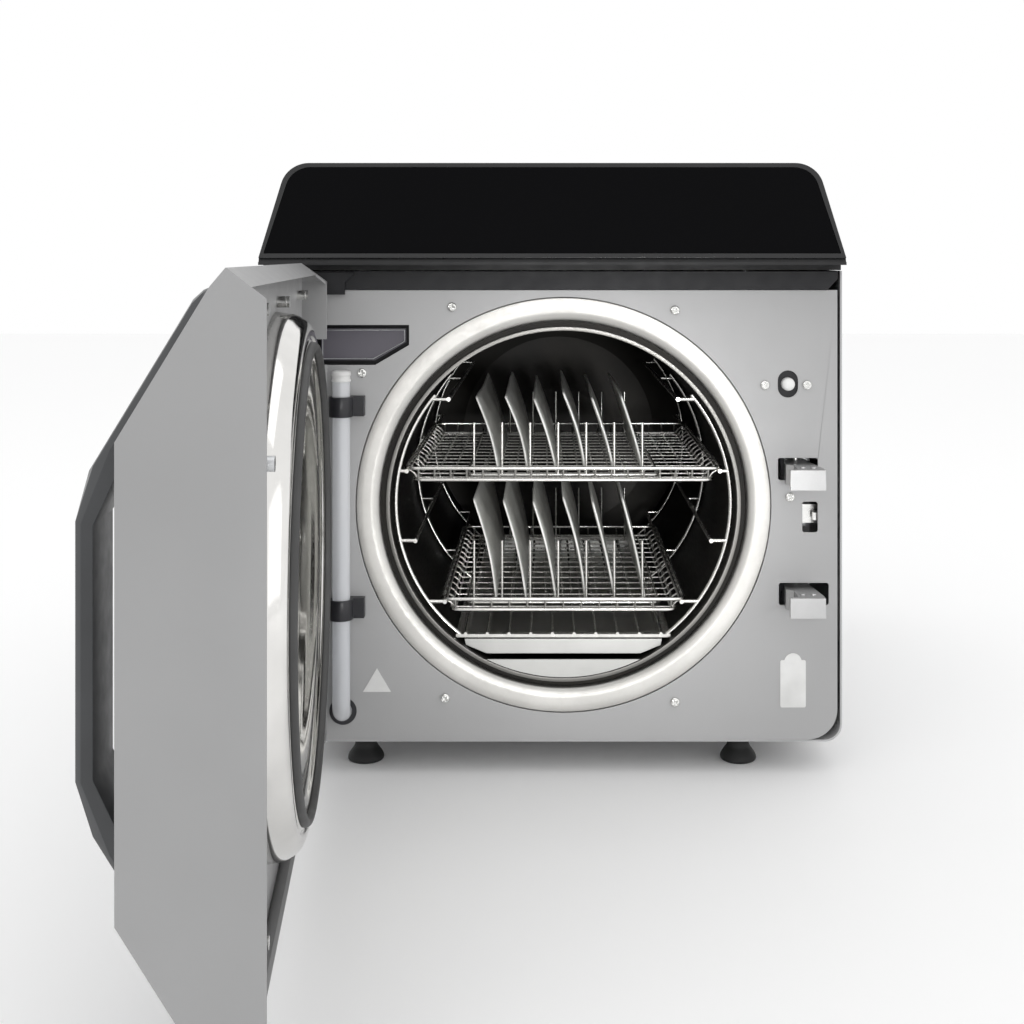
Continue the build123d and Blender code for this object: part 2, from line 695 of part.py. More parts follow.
def divider_solid(floor, height):
    """Makes rows of upright wires on a low wire frame."""
    base = floor + BASKET_WALL + DIVIDER_R
    row_width = DIVIDER_PITCH * (DIVIDER_COUNT - 1)
    with BuildPart() as divider:
        with BuildSketch(Plane.YZ.offset(CHAMBER_X - row_width / 2 - 4)):
            with Locations((BASKET_MID, base)):
                with GridLocations(DIVIDER_LENGTH, 0, 2, 1):
                    Circle(DIVIDER_R)
        extrude(amount=row_width + 8)
        with BuildSketch(from_front(FRONT_Y - BASKET_MID + DIVIDER_LENGTH / 2)):
            with Locations((CHAMBER_X, base)):
                with GridLocations(row_width + 8, 0, 2, 1):
                    Circle(DIVIDER_R)
        extrude(amount=-DIVIDER_LENGTH)
        with BuildSketch(Plane.XY.offset(base)):
            with Locations((CHAMBER_X, BASKET_MID)):
                with GridLocations(DIVIDER_PITCH, DIVIDER_LENGTH, DIVIDER_COUNT, 2):
                    Circle(DIVIDER_R)
        extrude(amount=height)
    return divider


def pouch_solids(floor, height, lean):
    """Makes six flat packs that stand on edge and all lean the same way."""
    base = floor + BASKET_WALL + 0.3
    with BuildPart() as pouches:
        with BuildSketch(from_front(FRONT_Y - BASKET_MID + POUCH_DEPTH / 2)):
            for pouch in range(DIVIDER_COUNT - 1):
                foot = CHAMBER_X + (pouch - (DIVIDER_COUNT - 2) / 2) * DIVIDER_PITCH + lean / 3
                with BuildLine():
                    Polyline(
                        (foot - POUCH_THICK / 2, base),
                        (foot + POUCH_THICK / 2, base),
                        (foot + POUCH_THICK / 2 - lean, base + height),
                        (foot - POUCH_THICK / 2 - lean, base + height),
                        close=True,
                    )
                make_face()
        extrude(amount=-POUCH_DEPTH)
    return pouches


upper_divider = divider_solid(UPPER_FLOOR, 44)
upper_divider.part.label = "upper_divider"
export_step(upper_divider.part, "parts/upper_divider.step")

upper_pouches = pouch_solids(UPPER_FLOOR, 68, 15)
upper_pouches.part.label = "upper_pouches"
export_step(upper_pouches.part, "parts/upper_pouches.step")

lower_divider = divider_solid(LOWER_FLOOR, 52)
lower_divider.part.label = "lower_divider"
export_step(lower_divider.part, "parts/lower_divider.step")

lower_pouches = pouch_solids(LOWER_FLOOR, 88, 18)
lower_pouches.part.label = "lower_pouches"
export_step(lower_pouches.part, "parts/lower_pouches.step")

TRAY_LENGTH = 385.0
with BuildPart() as bottom_tray:
    with BuildSketch(from_front(-9)):
        with BuildLine():
            Polyline(
                (CHAMBER_X - 80, 106),
                (CHAMBER_X - 79, 101),
                (CHAMBER_X - 62, 94),
                (CHAMBER_X + 62, 94),
                (CHAMBER_X + 79, 101),
                (CHAMBER_X + 80, 106),
                close=True,
            )
        make_face()
    extrude(amount=-TRAY_LENGTH)
    with BuildSketch(from_front(-10.2)):
        with BuildLine():
            Polyline(
                (CHAMBER_X - 78.6, 107),
                (CHAMBER_X - 77.8, 102),
                (CHAMBER_X - 61.5, 95.2),
                (CHAMBER_X + 61.5, 95.2),
                (CHAMBER_X + 77.8, 102),
                (CHAMBER_X + 78.6, 107),
                close=True,
            )
        make_face()
    extrude(amount=-TRAY_LENGTH + 2.4, mode=Mode.SUBTRACT)
bottom_tray.part.label = "bottom_tray"
export_step(bottom_tray.part, "parts/bottom_tray.step")

# ---- door ---------------------------------------------------------------------------------
DOOR_PROFILE = [
    (0.0, RIM_HALF),
    (RIDGE_OUT, RIDGE_HALF),
    (BREAK_OUT, BREAK_HALF),
    (FACE_OUT, FACE_HALF),
]
CORNER = 13.0  # the hinge side corners are cut so that they clear the console's lip
ARM_HEIGHTS = (-124.0, 124.0)  # hinge arms, from the chamber axis
ARM_HALF = 8.0
PIN_R = 4.0


def facet_height(out):
    """Height above the door's middle of its sloping front, at a distance out of the rim."""
    return BREAK_HALF - (out - BREAK_OUT) * (BREAK_HALF - FACE_HALF) / (FACE_OUT - BREAK_OUT)


def door_outline(inset):
    """Corner points of the door seen from the front, with its hinge side corners cut off."""
    left = DOOR_LEFT + inset
    right = DOOR_RIGHT - inset
    top = RIDGE_HALF - inset
    upper = [(left, top - CORNER), (left + CORNER, top), (right, top)]
    return mirrored_outline(upper)


with BuildPart() as door_cavity:
    with BuildSketch(door_section(DOOR_RIGHT - DOOR_SHEET)):
        with BuildLine():
            Polyline(*mirrored_outline(DOOR_PROFILE), close=True)
        make_face()
        offset(amount=-DOOR_SHEET, kind=Kind.INTERSECTION)
    extrude(amount=DOOR_WIDTH - 2 * DOOR_SHEET)
    with BuildSketch(DOOR.offset(-1)):
        with BuildLine():
            Polyline(*door_outline(DOOR_SHEET), close=True)
        make_face()
    extrude(amount=FACE_OUT + 2, mode=Mode.INTERSECT)

with BuildPart() as door_shell:
    with BuildSketch(door_section(DOOR_RIGHT)):
        with BuildLine():
            Polyline(*mirrored_outline(DOOR_PROFILE), close=True)
        make_face()
    extrude(amount=DOOR_WIDTH)
    with BuildSketch(DOOR.offset(-1)):
        with BuildLine():
            Polyline(*door_outline(0), close=True)
        make_face()
    extrude(amount=FACE_OUT + 2, mode=Mode.INTERSECT)
    add(door_cavity.part, mode=Mode.SUBTRACT)
    # Open back between the two sloping flanges.
    with BuildSketch(DOOR.offset(-1)):
        with Locations(((DOOR_LEFT + DOOR_RIGHT) / 2, 0)):
            Rectangle(DOOR_WIDTH - 2 * DOOR_SHEET, 2 * FLANGE_HALF)
        with Locations((DOOR_LEFT, FLANGE_HALF), (DOOR_LEFT, -FLANGE_HALF)):
            Rectangle(2 * CORNER + 8, 14, mode=Mode.SUBTRACT)
    extrude(amount=14, mode=Mode.SUBTRACT)
    # Notches in the hinge side wall for the hinge arms.
    with BuildSketch(DOOR.offset(-1)):
        for arm_height in ARM_HEIGHTS:
            with Locations((DOOR_LEFT + 4, arm_height)):
                Rectangle(12, 2 * ARM_HALF + 4)
    extrude(amount=RIM_TO_HINGE + 17, mode=Mode.SUBTRACT)
door_shell.part.label = "door_shell"
export_step(door_shell.part, "parts/door_shell.step")

with BuildPart() as door_inner_plate:
    with BuildSketch(DOOR.offset(PLATE_OUT)):
        plate_left = 16.0
        plate_right = DOOR_RIGHT - DOOR_SHEET - 0.4
        with Locations(((plate_left + plate_right) / 2, 0)):
            Rectangle(plate_right - plate_left, 2 * 189.5)
        with Locations((RING_U, 0)):
            Circle(160, mode=Mode.SUBTRACT)
        for hook_z in HOOK_Z:
            with Locations((401.5, hook_z - CHAMBER_Z)):
                RectangleRounded(37, 23, 3, mode=Mode.SUBTRACT)
    extrude(amount=1.2)
door_inner_plate.part.label = "door_inner_plate"
export_step(door_inner_plate.part, "parts/door_inner_plate.step")

with BuildPart() as door_ring:
    with BuildSketch(RING_PLANE):
        with BuildLine():
            Polyline(
                (0, 12),
                (90, 10),
                (112, 3.5),
                (124, -1.5),
                (134, -1.5),
                (138.5, -4.6),
                (154, -4.6),
                (159, -2),
                (163.5, 5),
                (165, 16.8),
                (162.4, 16.8),
                (161, 7),
                (157, 0.5),
                (153, -2.2),
                (139.5, -2.2),
                (135, 1.0),
                (125, 1.0),
                (113, 6),
                (90.5, 12.5),
                (0, 14.5),
                close=True,
            )
        make_face()
    revolve(axis=RING_AXIS)
door_ring.part.label = "door_ring"
export_step(door_ring.part, "parts/door_ring.step")

with BuildPart() as door_gasket:
    with BuildSketch(RING_PLANE):
        with BuildLine():
            Polyline((139.9, -4.6), (140.4, -8.6), (145.2, -8.6), (145.9, -4.6), close=True)
        make_face()
    revolve(axis=RING_AXIS)
door_gasket.part.label = "door_gasket"
export_step(door_gasket.part, "parts/door_gasket.step")

# Pressure bridge across the back of the ring, behind the inner plate.
with BuildPart() as door_bridge:
    with BuildSketch(DOOR.offset(20)):
        with Locations((RING_U + 3, 0)):
            Rectangle(310, 60)
        with Locations((RING_U, 0)):
            Circle(60)
    extrude(amount=16)
    with BuildSketch(DOOR.offset(15)):
        with Locations((RING_U, 0)):
            Circle(22)
    extrude(amount=5)
door_bridge.part.label = "door_bridge"
export_step(door_bridge.part, "parts/door_bridge.step")

HANDLE_U = 350.0
HANDLE_WIDTH = 46.0
with BuildPart() as door_handle:
    with BuildSketch(door_section(HANDLE_U + HANDLE_WIDTH / 2)):
        handle_outer = [
            (28.2, facet_height(28.2)),
            (33, 185.2),
            (39, 182.6),
            (44.4, 177.6),
            (50.8, 166.8),
            (97, 90),
            (103, 66),
        ]
        handle_inner = [
            (92, 64),
            (87, 84),
            (68, facet_height(68)),
        ]
        outer_loop = mirrored_outline(handle_outer)
        inner_loop = [(x, -y) for x, y in reversed(handle_inner)] + handle_inner
        with BuildLine():
            Polyline(*outer_loop, *inner_loop, close=True)
        make_face()
    extrude(amount=HANDLE_WIDTH)
    chamfer(door_handle.edges().filter_by(Axis.Z).sort_by(SortBy.LENGTH)[-4:], 2.5)
door_handle.part.label = "door_handle"
export_step(door_handle.part, "parts/door_handle.step")

STRIKER_U = 384.6
with BuildPart() as door_strikes:
    with BuildSketch(DOOR.offset(PLATE_OUT + 2.2)):
        with Locations((STRIKER_U, -24)):
            Rectangle(8, 160)
    extrude(amount=3.8)
    with BuildSketch(DOOR.offset(PLATE_OUT + 1.2)):
        with Locations((STRIKER_U, -100), (STRIKER_U, 52)):
            Rectangle(8, 8)
    extrude(amount=1)
    # Pin that presses the door switch.
    with BuildSketch(DOOR.offset(-0.6)):
        with Locations((BUTTON_AT[0] - HINGE_X, BUTTON_AT[1] - CHAMBER_Z)):
            Circle(4)
    extrude(amount=0.6 + PLATE_OUT)
door_strikes.part.label = "door_strikes"
export_step(door_strikes.part, "parts/door_strikes.step")

with BuildPart() as door_screws:
    with BuildSketch(DOOR.offset(PLATE_OUT)):
        for screw_u in (60, 208, 330):
            with Locations((screw_u, 171), (screw_u, -171)):
                Circle(3.6)
    extrude(amount=-8)
door_screws.part.label = "door_screws"
export_step(door_screws.part, "parts/door_screws.step")

# ---- hinge --------------------------------------------------------------------------------
with BuildPart() as hinge_arms:
    for arm_height in ARM_HEIGHTS:
        with BuildSketch(Plane.XY.offset(CHAMBER_Z + arm_height - ARM_HALF)):
            with Locations((HINGE_X, HINGE_Y)):
                Circle(9)
            with Locations((HINGE_X, (HINGE_Y + FRONT_Y) / 2)):
                Rectangle(16, FRONT_Y - HINGE_Y)
            with Locations((HINGE_X + 1, FRONT_Y - 1.5)):
                Rectangle(30, 3)
            with Locations((HINGE_X, HINGE_Y)):
                Circle(PIN_R + 0.05, mode=Mode.SUBTRACT)
        extrude(amount=2 * ARM_HALF)
hinge_arms.part.label = "hinge_arms"
export_step(hinge_arms.part, "parts/hinge_arms.step")

LUG_THICK = 7.0
LUG_GAP = 0.5
with BuildPart() as door_lugs:
    for arm_height in ARM_HEIGHTS:
        for side in (-1, 1):
            lug_middle = arm_height + side * (ARM_HALF + LUG_GAP + LUG_THICK / 2)
            with BuildSketch(Plane(
                origin=DOOR.from_local_coords(Vector(0, lug_middle - LUG_THICK / 2, 0)),
                x_dir=DOOR_ACROSS,
                z_dir=(0, 0, 1),
            )):
                # Local y runs back towards the rim plane.
                with Locations((0, -RIM_TO_HINGE)):
                    Circle(9)
                with Locations((-7.1, -RIM_TO_HINGE)):
                    Rectangle(14.2, 18)
                with Locations((0, -RIM_TO_HINGE)):
                    Circle(PIN_R, mode=Mode.SUBTRACT)
            extrude(amount=LUG_THICK)
door_lugs.part.label = "door_lugs"
export_step(door_lugs.part, "parts/door_lugs.step")

with BuildPart() as hinge_pins:
    for arm_height in ARM_HEIGHTS:
        pin_half = ARM_HALF + LUG_GAP + LUG_THICK
        with BuildSketch(Plane.XY.offset(CHAMBER_Z + arm_height - pin_half)):
            with Locations((HINGE_X, HINGE_Y)):
                Circle(PIN_R)
        extrude(amount=2 * pin_half)
hinge_pins.part.label = "hinge_pins"
export_step(hinge_pins.part, "parts/hinge_pins.step")

# ---- latch, lock and switch behind the panel ----------------------------------------------
with BuildPart() as latch_shaft:
    with BuildSketch(Plane.XY.offset(116)):
        with Locations((HOOK_X, HOOK_SHAFT_Y)):
            Circle(4)
    extrude(amount=152)
latch_shaft.part.label = "latch_shaft"
export_step(latch_shaft.part, "parts/latch_shaft.step")

HOOK_HEIGHT = 15.6
HOOK_OUTLINE = [
    (190.5, HOOK_SHAFT_Y),
    (186.5, -262),
    (186.5, -272),
    (192, -276),
    (192, -295.6),
    (185, -297.6),
    (185, -301),
    (212.5, -301),
    (212.5, -293),
    (209, -262),
    (207.5, HOOK_SHAFT_Y),
]


def hook_solid(middle):
    """Makes one hook with its boss and the two pins on its top."""
    with BuildPart() as hook:
        with BuildSketch(Plane.XY.offset(middle - HOOK_HEIGHT / 2)):
            with BuildLine():
                Polyline(*HOOK_OUTLINE, close=True)
            make_face()
            with Locations((HOOK_X, HOOK_SHAFT_Y)):
                Circle(9)
                Circle(4, mode=Mode.SUBTRACT)
        extrude(amount=HOOK_HEIGHT)
        with BuildSketch(Plane.XY.offset(middle + HOOK_HEIGHT / 2)):
            with Locations((196.5, -289), (205, -289)):
                Circle(2.2)
        extrude(amount=1.0)
        # The neck is shallower than the head, so that it clears the slot's lower edge.
        with BuildSketch(Plane.XY.offset(middle - HOOK_HEIGHT / 2)):
            with Locations((HOOK_X, -244)):
                Rectangle(60, 48)
        extrude(amount=3.1, mode=Mode.SUBTRACT)
    return hook


lower_hook = hook_solid(HOOK_Z[0])
lower_hook.part.label = "lower_hook"
export_step(lower_hook.part, "parts/lower_hook.step")

upper_hook = hook_solid(HOOK_Z[1])
upper_hook.part.label = "upper_hook"
export_step(upper_hook.part, "parts/upper_hook.step")

with BuildPart() as latch_bracket:
    with BuildSketch(Plane.XY.offset(110)):
        with Locations((HOOK_X, -242)):
            Rectangle(30, 40)
    extrude(amount=5.6)
    with BuildSketch(Plane.XY.offset(268.4)):
        with Locations((HOOK_X, -242)):
            Rectangle(30, 40)
    extrude(amount=5.6)
    with BuildSketch(Plane.XY.offset(110)):
        with Locations((HOOK_X + 3, -224)):
            Rectangle(24, 3)
    extrude(amount=164)
latch_bracket.part.label = "latch_bracket"
export_step(latch_bracket.part, "parts/latch_bracket.step")

with BuildPart() as lock_tongue:
    with BuildSketch(Plane.XY.offset(199)):
        with Locations((211.75, -249.3)):
            Rectangle(16.5, 3)
    extrude(amount=15)
    with BuildSketch(Plane.XY.offset(203)):
        with Locations((213.75, -258)):
            Rectangle(6.5, 6)
        with Locations((218.5, -254)):
            Rectangle(3, 14)
    extrude(amount=6)
lock_tongue.part.label = "lock_tongue"
export_step(lock_tongue.part, "parts/lock_tongue.step")

with BuildPart() as switch_guide:
    with BuildSketch(from_front(-SHEET - 0.2)):
        with Locations(BUTTON_AT):
            RectangleRounded(26, 30, 4)
            Circle(5.4, mode=Mode.SUBTRACT)
    extrude(amount=-12)
switch_guide.part.label = "switch_guide"
export_step(switch_guide.part, "parts/switch_guide.step")

with BuildPart() as switch_plunger:
    with BuildSketch(from_front(5)):
        with Locations(BUTTON_AT):
            Circle(5.35)
    extrude(amount=-24)
    chamfer(switch_plunger.faces().sort_by(Axis.Y)[0].edges(), 1.4)
switch_plunger.part.label = "switch_plunger"
export_step(switch_plunger.part, "parts/switch_plunger.step")

# ---- water side, power and electronics ----------------------------------------------------
with BuildPart() as reservoir_tank:
    with BuildSketch(Plane.XY.offset(394)):
        with Locations((-65, 85)):
            RectangleRounded(270, 260, 14)
    extrude(amount=78)
    with BuildSketch(Plane.XY.offset(472)):
        with Locations((-65, 110)):
            RectangleRounded(108, 88, 7)
    extrude(amount=11.5)
    with BuildSketch(Plane.XY.offset(397)):
        with Locations((-65, 85)):
            RectangleRounded(264, 254, 11)
    extrude(amount=72, mode=Mode.SUBTRACT)
    with BuildSketch(Plane.XY.offset(465)):
        with Locations((-65, 110)):
            RectangleRounded(102, 82, 5)
    extrude(amount=20, mode=Mode.SUBTRACT)
reservoir_tank.part.label = "reservoir_tank"
export_step(reservoir_tank.part, "parts/reservoir_tank.step")

with BuildPart() as fill_lid:
    with BuildSketch(Plane.XY.offset(CASE_TOP + 0.6)):
        with Locations((-65, 104)):
            RectangleRounded(128, 110, 10)
    extrude(amount=4)
    with BuildSketch(Plane.XY.offset(CASE_TOP + 4.6)):
        with Locations((-65, 60)):
            RectangleRounded(40, 10, 4)
    extrude(amount=2.5)
    with BuildSketch(Plane.YZ.offset(-115)):
        with Locations((LID_HINGE_Y, CASE_TOP + 4)):
            Circle(3.2)
        with Locations((LID_HINGE_Y - 3, CASE_TOP + 2.6)):
            Rectangle(6, 4)
    extrude(amount=100)
fill_lid.part.label = "fill_lid"
export_step(fill_lid.part, "parts/fill_lid.step")

with BuildPart() as condenser_coil:
    with BuildSketch(Plane.YZ.offset(92)):
        with Locations((70, 432)):
            with GridLocations(24, 24, 6, 3):
                Circle(5)
    extrude(amount=100)
    for plate_x in (92, 112, 132, 152, 172, 190):
        with BuildSketch(Plane.YZ.offset(plate_x)):
            with Locations((70, 432)):
                Rectangle(150, 74)
        extrude(amount=1.2)
condenser_coil.part.label = "condenser_coil"
export_step(condenser_coil.part, "parts/condenser_coil.step")

FAN_X = 150.0
FAN_Z = 110.0
with BuildPart() as fan_frame:
    with BuildSketch(Plane.XZ.offset(-(BACK_Y - 27))):
        with Locations((FAN_X, FAN_Z)):
            RectangleRounded(112, 112, 6)
            Circle(53, mode=Mode.SUBTRACT)
            Circle(15)
            Rectangle(110, 5)
            Rectangle(5, 110)
    extrude(amount=-4)
    with BuildSketch(Plane.XZ.offset(-(BACK_Y - 23))):
        with Locations((FAN_X, FAN_Z)):
            RectangleRounded(112, 112, 6)
            Circle(53, mode=Mode.SUBTRACT)
    extrude(amount=-19.8)
fan_frame.part.label = "fan_frame"
export_step(fan_frame.part, "parts/fan_frame.step")

with BuildPart() as fan_rotor:
    with BuildSketch(Plane.XZ.offset(-(BACK_Y - 22))):
        with Locations((FAN_X, FAN_Z)):
            Circle(18)
        with Locations((FAN_X, FAN_Z)):
            with PolarLocations(33, 7):
                Rectangle(34, 13)
    extrude(amount=-16)
fan_rotor.part.label = "fan_rotor"
export_step(fan_rotor.part, "parts/fan_rotor.step")

with BuildPart() as rear_panel:
    with BuildSketch(Plane.XZ.offset(-BACK_Y + 2 * SHEET)):
        with Locations((0, (CASE_BOTTOM + CASE_TOP) / 2)):
            RectangleRounded(2 * (CASE_HALF - SHEET) - 0.6, CASE_TOP - CASE_BOTTOM - 4, 12)
        with Locations((FAN_X, FAN_Z)):
            for grille_turn in range(4):
                with PolarLocations(15 + 11 * grille_turn, 6 + 6 * grille_turn):
                    Circle(3.6, mode=Mode.SUBTRACT)
        with Locations((-60, 330)):
            with GridLocations(16, 0, 9, 1):
                SlotOverall(70, 6, rotation=90, mode=Mode.SUBTRACT)
        with Locations((-160, 80)):
            Rectangle(28, 48, mode=Mode.SUBTRACT)
        with Locations((-110, 80)):
            Rectangle(20, 28, mode=Mode.SUBTRACT)
        with Locations((60, 390)):
            Circle(9, mode=Mode.SUBTRACT)
        with Locations((-185, 200)):
            Circle(7, mode=Mode.SUBTRACT)
    extrude(amount=-SHEET)
rear_panel.part.label = "rear_panel"
export_step(rear_panel.part, "parts/rear_panel.step")

with BuildPart() as power_inlet:
    with BuildSketch(Plane.XZ.offset(-BACK_Y + 22)):
        with Locations((-160, 80)):
            Rectangle(27, 47)
    extrude(amount=-20.5)
    with BuildSketch(Plane.XZ.offset(-BACK_Y + 1.5)):
        with Locations((-160, 80)):
            RectangleRounded(34, 58, 4)
            RectangleRounded(20, 26, 4, mode=Mode.SUBTRACT)
    extrude(amount=-2)
    with BuildSketch(Plane.XZ.offset(-BACK_Y + 16)):
        with Locations((-160, 80)):
            RectangleRounded(20, 26, 4)
    extrude(amount=-16, mode=Mode.SUBTRACT)
    with BuildSketch(Plane.XZ.offset(-BACK_Y + 16)):
        with Locations((-160, 84), (-166, 76), (-154, 76)):
            Rectangle(2, 5)
    extrude(amount=-13)
    # Bezel of the power switch.
    with BuildSketch(Plane.XZ.offset(-BACK_Y + 18)):
        with Locations((-110, 80)):
            Rectangle(19, 27)
            Rectangle(15, 23, mode=Mode.SUBTRACT)
    extrude(amount=-16.5)
    with BuildSketch(Plane.XZ.offset(-BACK_Y + 1.5)):
        with Locations((-110, 80)):
            RectangleRounded(24, 33, 2)
            Rectangle(15, 23, mode=Mode.SUBTRACT)
    extrude(amount=-2)
power_inlet.part.label = "power_inlet"
export_step(power_inlet.part, "parts/power_inlet.step")

ROCKER_Y = BACK_Y - 4.0
with BuildPart() as power_rocker:
    with BuildSketch(Plane.YZ.offset(-116.5)):
        with BuildLine():
            Polyline(
                (ROCKER_Y - 6, 87),
                (ROCKER_Y + 3.0, 90),
                (ROCKER_Y + 5.2, 80),
                (ROCKER_Y + 7.0, 71.5),
                (ROCKER_Y - 6, 73),
                close=True,
            )
        make_face()
    extrude(amount=13)
power_rocker.part.label = "power_rocker"
export_step(power_rocker.part, "parts/power_rocker.step")

with BuildPart() as safety_valve:
    with BuildSketch(Plane.XZ.offset(-(BACK_Y - 24))):
        with Locations((60, 390)):
            RegularPolygon(14, 6)
    extrude(amount=-14)
    with BuildSketch(Plane.XZ.offset(-(BACK_Y - 10))):
        with Locations((60, 390)):
            Circle(8.5)
    extrude(amount=-22)
    with BuildSketch(Plane.XZ.offset(-(BACK_Y - 8))):
        with Locations((60, 390)):
            Circle(2.6)
    extrude(amount=-22, mode=Mode.SUBTRACT)
safety_valve.part.label = "safety_valve"
export_step(safety_valve.part, "parts/safety_valve.step")

with BuildPart() as valve_ring:
    with BuildSketch(Plane.XZ.offset(-(BACK_Y - 4))):
        with Locations((60, 390)):
            Circle(2.4)
    extrude(amount=-20)
    with BuildSketch(Plane.YZ.offset(58.8)):
        with Locations((BACK_Y + 25, 390)):
            Circle(11)
            Circle(8.4, mode=Mode.SUBTRACT)
    extrude(amount=2.4)
valve_ring.part.label = "valve_ring"
export_step(valve_ring.part, "parts/valve_ring.step")

DRAIN_AT = (-185, 200)
SPIGOT_END = BACK_Y + 14.0
FLANGE_END = BACK_Y + 1.5
with BuildPart() as drain_port:
    # Barrel inside the case.
    with BuildSketch(Plane.XZ.offset(-(BACK_Y - 20))):
        with Locations(DRAIN_AT):
            Circle(6.9)
    extrude(amount=-20)
    with BuildSketch(Plane.XZ.offset(-(BACK_Y - 1.5))):
        with Locations(DRAIN_AT):
            Circle(11)
    extrude(amount=-3)
    # Plain spigot for the hose.
    with BuildSketch(Plane.XZ.offset(-FLANGE_END)):
        with Locations(DRAIN_AT):
            Circle(6.5)
    extrude(amount=FLANGE_END - SPIGOT_END)
    with BuildSketch(Plane.XZ.offset(-(BACK_Y - 20))):
        with Locations(DRAIN_AT):
            Circle(4)
    extrude(amount=-36, mode=Mode.SUBTRACT)
drain_port.part.label = "drain_port"
export_step(drain_port.part, "parts/drain_port.step")

with BuildPart() as water_pump:
    with BuildSketch(Plane.XY.offset(30)):
        with Locations((-179, -60)):
            RectangleRounded(60, 70, 6)
    extrude(amount=40)
    with BuildSketch(Plane.XZ.offset(25)):
        with Locations((-179, 56)):
            Circle(22)
    extrude(amount=-80)
water_pump.part.label = "water_pump"
export_step(water_pump.part, "parts/water_pump.step")

with BuildPart() as control_board:
    with BuildSketch(Plane.YZ.offset(214)):
        with Locations((-40, 320)):
            Rectangle(200, 110)
    extrude(amount=1.6)
    with BuildSketch(Plane.YZ.offset(214)):
        with Locations((-90, 340)):
            Rectangle(40, 36)
        with Locations((0, 300)):
            Rectangle(30, 26)
        with Locations((-30, 345)):
            with GridLocations(22, 0, 3, 1):
                Circle(8)
    extrude(amount=-16)
control_board.part.label = "control_board"
export_step(control_board.part, "parts/control_board.step")
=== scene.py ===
"""Looks of the benchtop steriliser: materials, wires, packs, turned rings, light and camera."""

import json
import math

import bmesh
import bpy
from mathutils import Matrix, Vector


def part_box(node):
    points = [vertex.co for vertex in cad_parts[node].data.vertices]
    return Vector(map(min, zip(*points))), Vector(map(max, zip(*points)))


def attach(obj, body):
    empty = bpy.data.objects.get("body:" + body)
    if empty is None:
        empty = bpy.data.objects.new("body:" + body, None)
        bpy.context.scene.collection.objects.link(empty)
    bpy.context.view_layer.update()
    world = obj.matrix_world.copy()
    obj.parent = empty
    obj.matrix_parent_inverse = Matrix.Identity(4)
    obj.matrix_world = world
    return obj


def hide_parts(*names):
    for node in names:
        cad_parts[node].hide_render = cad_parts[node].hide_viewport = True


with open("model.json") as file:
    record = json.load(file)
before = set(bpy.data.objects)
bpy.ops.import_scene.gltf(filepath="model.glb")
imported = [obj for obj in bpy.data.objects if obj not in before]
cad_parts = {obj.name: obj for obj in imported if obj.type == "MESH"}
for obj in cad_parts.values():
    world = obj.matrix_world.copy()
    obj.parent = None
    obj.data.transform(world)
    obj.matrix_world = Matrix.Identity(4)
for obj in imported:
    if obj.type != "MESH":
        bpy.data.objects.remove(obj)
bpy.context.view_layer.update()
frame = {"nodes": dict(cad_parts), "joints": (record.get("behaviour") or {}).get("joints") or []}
nodes = frame["nodes"]

MM = 0.001
DOOR_OPEN = math.radians(84.54)
RIM_TO_HINGE = 27.8 * MM  # the door's rim plane lies this far inside the hinge axis
DOOR_PLATE_OUT = 17.0 * MM  # from the rim plane to the door's inner plate
RIGHT = Vector((1, 0, 0))
BACK = Vector((0, 1, 0))
UP = Vector((0, 0, 1))
RING_STEPS = 160  # round the large rings
SMALL_STEPS = 64  # round feet, end cap and button


def low(node):
    """Lowest corner of a CAD node."""
    return Vector(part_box(node)[0])


def high(node):
    """Highest corner of a CAD node."""
    return Vector(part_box(node)[1])


def centre(node):
    """Middle of a CAD node's box."""
    return (low(node) + high(node)) / 2


FRONT_Y = low("front_panel").y
CHAMBER_X = centre("chamber").x
CHAMBER_Z = centre("chamber").z
HINGE = Vector(next(j["pos_m"] for j in frame["joints"] if j["name"] == "door_hinge"))
ACROSS = Vector((math.cos(DOOR_OPEN), -math.sin(DOOR_OPEN), 0))
OUTWARD = Vector((-math.sin(DOOR_OPEN), -math.cos(DOOR_OPEN), 0))
DOOR_ORIGIN = Vector((HINGE.x, HINGE.y, CHAMBER_Z)) - OUTWARD * RIM_TO_HINGE
RING_U = CHAMBER_X - HINGE.x


def on_door(across, up, out):
    """A point given across, up and out of the door's rim plane, in metres."""
    return DOOR_ORIGIN + ACROSS * across + UP * up + OUTWARD * out


def axes(origin, x_dir, y_dir, z_dir):
    """Matrix that takes local x, y, z to these directions at an origin."""
    turn = Matrix((x_dir, y_dir, z_dir)).transposed().to_4x4()
    return Matrix.Translation(origin) @ turn


RING_FRAME = axes(on_door(RING_U, 0, 0), ACROSS, UP, OUTWARD)
# Local z runs back into the chamber from the front panel's face.
MOUTH_FRAME = axes(Vector((CHAMBER_X, FRONT_Y, CHAMBER_Z)), RIGHT, -UP, BACK)


# ---- materials ----------------------------------------------------------------------------
def new_material(name, colour, roughness, metallic=0.0, **sockets):
    """A principled material with constant sockets."""
    made = bpy.data.materials.new(name)
    made.use_nodes = True
    shader = made.node_tree.nodes["Principled BSDF"]
    shader.inputs["Base Color"].default_value = (*colour, 1)
    shader.inputs["Roughness"].default_value = roughness
    shader.inputs["Metallic"].default_value = metallic
    for socket, value in sockets.items():
        shader.inputs[socket.replace("_", " ")].default_value = value
    return made


